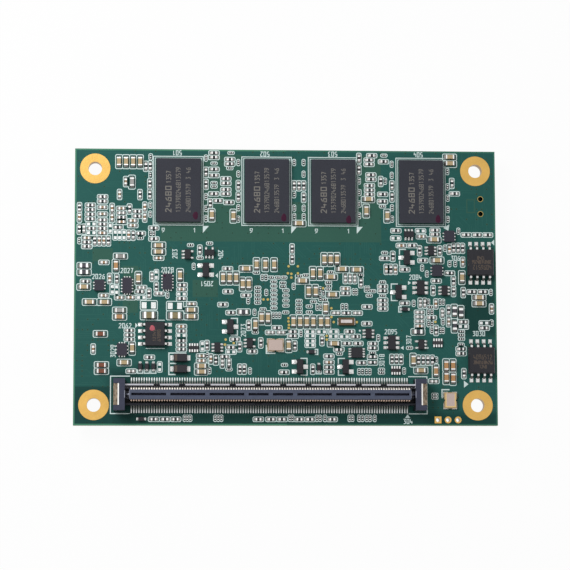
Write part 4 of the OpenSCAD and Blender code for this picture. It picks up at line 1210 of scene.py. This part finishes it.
print("faces with the first-pin marks:", len(ink_bm.faces))

# %% [markdown]
# ## Plain numbers
# Digits could come from a font, but a font's outlines are heavy, and curves do not export as
# they look. Here they are drawn as a pen plotter would: each is one or two paths on a grid,
# one unit wide and two units high, and each path becomes a strip.

# %% Digits
DIGITS = {
    "0": [[(0, 0), (1, 0), (1, 2), (0, 2), (0, 0)]],
    "1": [[(0.1, 1.6), (0.6, 2), (0.6, 0)]],
    "2": [[(0, 1.7), (0.3, 2), (0.8, 2), (1, 1.7), (1, 1.3), (0, 0), (1, 0)]],
    "3": [[(0, 2), (1, 2), (0.5, 1.2), (1, 0.8), (1, 0.3), (0.7, 0), (0, 0)]],
    "4": [[(0.8, 0), (0.8, 1.2)], [(0, 2), (0, 0.7), (1.1, 0.7)]],
    "5": [[(1, 2), (0, 2), (0, 1.1), (0.7, 1.1), (1, 0.8), (1, 0.3), (0.7, 0), (0, 0)]],
    "6": [[(1, 2), (0.3, 1.6), (0, 0.9), (0, 0), (1, 0), (1, 1), (0, 1)]],
    "7": [[(0, 2), (1, 2), (0.4, 0)]],
    "8": [[(0, 0), (1, 0), (1, 2), (0, 2), (0, 0)], [(0, 1), (1, 1)]],
    "9": [[(0, 0), (0.7, 0.4), (1, 1.1), (1, 2), (0, 2), (0, 1), (1, 1)]]}
DIGIT_W = 0.58


def digits(bm, text, x, y, height, pitch, width, low, high, turn=0):
    """Plain digits in a row that starts at x, y and runs at a turn in degrees."""
    c, s = math.cos(math.radians(turn)), math.sin(math.radians(turn))
    for i, digit in enumerate(text):
        for k, points in enumerate(DIGITS[digit]):
            placed = []
            for px, py in points:
                across, upward = (i + px * DIGIT_W) * pitch, py * height / 2
                placed.append((x + across * c - upward * s, y + across * s + upward * c))
            strip(bm, placed, width, low, high + k * 0.001)


print("digits:", "".join(DIGITS))

# %% [markdown]
# Some numbers count pins at the corners of the memory chips. The others stand beside the chips
# and are turned as the printed lines there are. With them the board's ink is complete, and all
# of it is one piece, since one pass of the printer lays it down.

# %% Numbers on the board
for text, px, py in (("1", 23.5, 38.3), ("1", 41.1, 38.3), ("1", 54.2, 38.3),
                     ("9", 17.3, 38.3), ("9", 34.8, 38.3), ("9", 47.8, 38.3)):
    digits(ink_bm, text, px, py, 0.8, 0.8, 0.14, -SUNK, INK_HIGH + 0.006)
for text, px, py, turn in (
        ("501", 21.1, 54.7, 180), ("502", 38.6, 54.6, 180), ("503", 52.2, 54.7, 180),
        ("504", 69.4, 54.7, 180), ("2026", 3.6, 28.95, 0), ("2027", 9.2, 30.15, 0),
        ("2028", 17.2, 30.35, 0), ("203", 20.3, 33.1, 90), ("204", 28.5, 34.7, -90),
        ("2051", 27.4, 28.5, 180), ("2062", 8.9, 19.2, 0), ("2073", 33.9, 17.6, 90),
        ("2084", 66.6, 29.1, 0), ("2095", 61.6, 18.15, 0), ("306", 75.0, 32.95, 0),
        ("307", 66.8, 16.1, 90), ("3018", 61.4, 11.7, 90), ("3029", 8.2, 13.4, 90),
        ("3030", 79.2, 17.85, 0), ("304", 65.2, 0.35, 0)):
    digits(ink_bm, text, px, py, 0.88, 0.66, 0.15, -SUNK, INK_HIGH + 0.007, turn)
piece("silkscreen", ink_bm, white_ink)

# %% [markdown]
# ## Marks on the chips
# A laser writes on a chip by burning its surface to a dry grey-brown. Cut into the mesh, the
# marks would change the CAD solid, so they are strips that stand out by less than a hair. A
# memory chip has three columns of plain digits.

# %% Laser marks on the memory chips
BURNT = 0.006
marks = bmesh.new()
for i in range(4):
    low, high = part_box(f"memory_chip_{i + 1}")
    left, front, top = [(v - c) / MM for v, c in zip((low[0], low[1], high[2]), on_board(0, 0))]
    for text, px, py, height, pitch, width in (
            ("24680", 2.95, 1.9, 1.05, 1.12, 0.20), ("1357", 2.90, 7.7, 0.86, 0.66, 0.14),
            ("135790246813579", 4.80, 1.9, 0.84, 0.61, 0.115),
            ("2468013579", 6.75, 1.9, 0.82, 0.58, 0.11), ("3", 6.75, 8.5, 0.82, 0.6, 0.11),
            ("46", 6.75, 9.8, 0.82, 0.6, 0.11)):
        digits(marks, text, left + px, front + py, height, pitch, width, top - BURNT,
               top + BURNT, 90)
piece("chip_markings", marks, ink("laser_mark", (0.230, 0.218, 0.198), 0.7, 0.35))

# %% [markdown]
# Smaller chips are marked more faintly: three rows on each flash chip, two short columns on
# the firmware chip, and a band on each large diode. The top of each chip is read from the
# model, so the marks lie on it.

# %% Fainter marks on the smaller chips


def top_of(name):
    """The height of a node's top above the board, in millimetres."""
    return (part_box(name)[1][2] - board_high[2]) / MM


BAND_FROM, BAND_TO, BAND_IN = 0.2, 0.72, 0.2
faint = bmesh.new()
flash_top, firmware_top = top_of("front_flash_chip"), top_of("firmware_chip")
diode_top = top_of("large_diodes")
for text, px, py, height, pitch, turn in (
        ("4096512", 79.05, 13.05, 0.85, 0.54, 0), ("204816384256", 79.05, 12.1, 0.62, 0.32, 0),
        ("1248", 80.2, 11.25, 0.60, 0.38, 0), ("4096512", 82.7, 31.8, 0.85, 0.54, 180),
        ("204816384256", 82.7, 32.75, 0.62, 0.32, 180), ("1248", 81.4, 33.55, 0.60, 0.38, 180)):
    digits(faint, text, px, py, height, pitch, 0.12, flash_top - BURNT, flash_top + BURNT, turn)
for text, px in (("12345", 16.15), ("67890", 17.05)):
    digits(faint, text, px, 16.5, 0.55, 0.48, 0.11, firmware_top - BURNT,
           firmware_top + BURNT, 90)
for left, front, _, rear in (box[:4] for box in loose_boxes("large_diodes")):
    prism(faint, [(left + BAND_FROM, front + BAND_IN), (left + BAND_TO, front + BAND_IN),
                  (left + BAND_TO, rear - BAND_IN), (left + BAND_FROM, rear - BAND_IN)],
          diode_top - BURNT, diode_top + BURNT)
piece("small_markings", faint, ink("faint_laser_mark", (0.135, 0.105, 0.085), 0.7, 0.35))

# %% [markdown]
# ## Tips of the contacts
# Each contact ends in a small rounded nose that lies on the edge of the tongue. The nose is a
# few tenths of a millimetre long, so it is added here to the contacts of the CAD model: one
# profile, drawn out to the contact's width. The rear row reaches further over the tongue than
# the front row.

# %% Noses on the edges of the tongue
NOSE_W = 0.28
TONGUE_DROP = 0.2
tongue_top = HOUSING_TOP - TONGUE_DROP - board_high[2] / MM
middle_y = CONNECTOR_Y + BOARD_D / 2
noses = bmesh.new()
for name, way, tip_at, heel in (("rear_contacts", 1, 0.88, 1.18),
                                ("front_contacts", -1, 1.06, 1.25)):
    profile = ((heel, -0.20), (heel, -0.03), (heel - 0.06, 0.03), (tip_at + 0.06, 0.03),
               (tip_at, -0.04), (tip_at, -0.20))
    for box in loose_boxes(name):
        ends = [[noses.verts.new(on_board(middle_of(box)[0] + half * NOSE_W / 2,
                                          middle_y + way * out, tongue_top + rise))
                 for out, rise in profile] for half in (-1, 1)]
        noses.faces.new(ends[0])
        noses.faces.new(ends[1][::-1])
        for k in range(len(profile)):
            j = (k + 1) % len(profile)
            noses.faces.new((ends[0][k], ends[0][j], ends[1][j], ends[1][k]))
piece("contact_noses", noses, contact)

# %% [markdown]
# ## Paint dots
# A dab of paint shows which chips were programmed or tested. Wet paint draws itself into a low
# dome with an uneven edge, so each dab is three rings of points, one inside the other and each
# a little higher.

# %% A dab of paint
DAB_SIDES = 20


def dab(bm, x, y, across, along, low, height):
    """A low dab of paint, across wide and along long, with a slightly uneven outline."""
    levels = []
    for share, lift in ((1.0, 0.0), (0.92, 0.55), (0.6, 0.9)):
        level_ring = []
        for i in range(DAB_SIDES):
            angle = 2 * math.pi * i / DAB_SIDES
            uneven = share * (1 + 0.07 * math.sin(angle * 3 + x))
            level_ring.append(bm.verts.new(on_board(x + across / 2 * uneven * math.cos(angle),
                                                    y + along / 2 * uneven * math.sin(angle),
                                                    low + height * lift)))
        levels.append(level_ring)
    for lower, upper in zip(levels, levels[1:]):
        for i in range(DAB_SIDES):
            j = (i + 1) % DAB_SIDES
            bm.faces.new((lower[i], lower[j], upper[j], upper[i]))
    bm.faces.new(levels[-1])
    bm.faces.new(levels[0][::-1])


print("points in a dab:", 3 * DAB_SIDES)

# %% [markdown]
# The firmware chip has a bright red dab. The memory chips have a dark one each at a corner,
# drawn out by the brush, and a leadless chip has a small one.

# %% Dots of paint
red_bm, dark_bm = bmesh.new(), bmesh.new()
dab(red_bm, 15.45, 19.05, 1.05, 1.15, firmware_top - SUNK, 0.05)
for px, py in ((23.9, 41.5), (41.45, 41.2), (54.4, 40.9), (72.3, 41.1)):
    dab(dark_bm, px, py, 1.08, 1.65, top_of("memory_chip_1") - SUNK, 0.04)
dab(dark_bm, 17.85, 29.5, 0.45, 0.45, top_of("leadless_chips") - SUNK, 0.03)
piece("firmware_paint_dot", red_bm, ink("red_paint", (0.54, 0.130, 0.160), 0.45))
piece("memory_paint_dots", dark_bm, ink("dark_red_paint", (0.040, 0.002, 0.020), 0.5))

# %% [markdown]
# ## Light and floor
# The studio is a white room. More light would make the background white, but it would wash
# out the board too. So the room shines softly on the module, at a level where a colour renders
# about as it is written, and only the camera and shiny surfaces see it as fully white.

# %% A white room
ROOM = 0.35


def seen_directly(network):
    """1 for rays from the camera and for those from shiny or clear surfaces, else 0."""
    camera_ray = network.node("ShaderNodeLightPath", {}, {}, out="Is Camera Ray")
    kinds = {value.socket.name: value for value in network.outputs_of(camera_ray)}
    return camera_ray.larger(kinds["Is Glossy Ray"]).larger(kinds["Is Transmission Ray"])


world = bpy.data.worlds.new("white_room")
bpy.context.scene.world = world
world.use_nodes = True
room = Network(world.node_tree)
backdrop = world.node_tree.nodes["Background"]
room.feed(backdrop.inputs["Color"], (1.0, 1.0, 1.0))
room.feed(backdrop.inputs["Strength"], seen_directly(room) * (1 - ROOM) + ROOM)
print("room light:", ROOM)

# %% [markdown]
# One large soft box at the upper left makes the board a little brighter there and gives the
# parts their soft shadows. A small lamp would draw hard ones. Its light and the room's add up
# to about 1.

# %% Soft box
SOFTBOX_AT = Vector((-0.17, 0.13, 0.25))
softbox = bpy.data.objects.new("softbox", bpy.data.lights.new("softbox", "AREA"))
bpy.context.collection.objects.link(softbox)
softbox.data.shape = "DISK"
softbox.data.size = 0.18
softbox.data.energy = 0.62
softbox.location = SOFTBOX_AT
softbox.rotation_euler = SOFTBOX_AT.to_track_quat("Z", "Y").to_euler()
print("soft box", round(SOFTBOX_AT.length, 2), "m from the module")

# %% [markdown]
# The floor is plain pale paper. It mostly glows white to the camera and to shiny metal, and the
# small rest is a matte surface, which keeps the soft shadow of the module.

# %% Floor
FLOOR_GLOW = 0.95
paper = Finish("pale_floor", Roughness=0.9, Specular_IOR_Level=0.0, Base_Color=(0.97, 0.97, 0.97))
glow = paper.node("ShaderNodeEmission", {}, {"Color": (1.0, 1.0, 1.0), "Strength": 1.0})
blend = paper.node("ShaderNodeMixShader", {}, {
    0: seen_directly(paper) * FLOOR_GLOW, 1: Value(paper, paper.shader.outputs[0]), 2: glow})
paper.feed(paper.tree.nodes["Material Output"].inputs["Surface"], blend)

floor_bm = bmesh.new()
bmesh.ops.create_circle(floor_bm, cap_ends=True, segments=64, radius=4.0)
floor_mesh = bpy.data.meshes.new("floor")
floor_bm.to_mesh(floor_mesh)
floor_bm.free()
floor_mesh.materials.append(paper.material)
floor_object = bpy.data.objects.new("floor", floor_mesh)
bpy.context.collection.objects.link(floor_object)
print("floor:", round(floor_object.dimensions.x, 1), "m across")

# %% [markdown]
# ## The end
# The plain view transform keeps colours as written.

# %% Plain view transform
bpy.context.scene.view_settings.view_transform = "Standard"
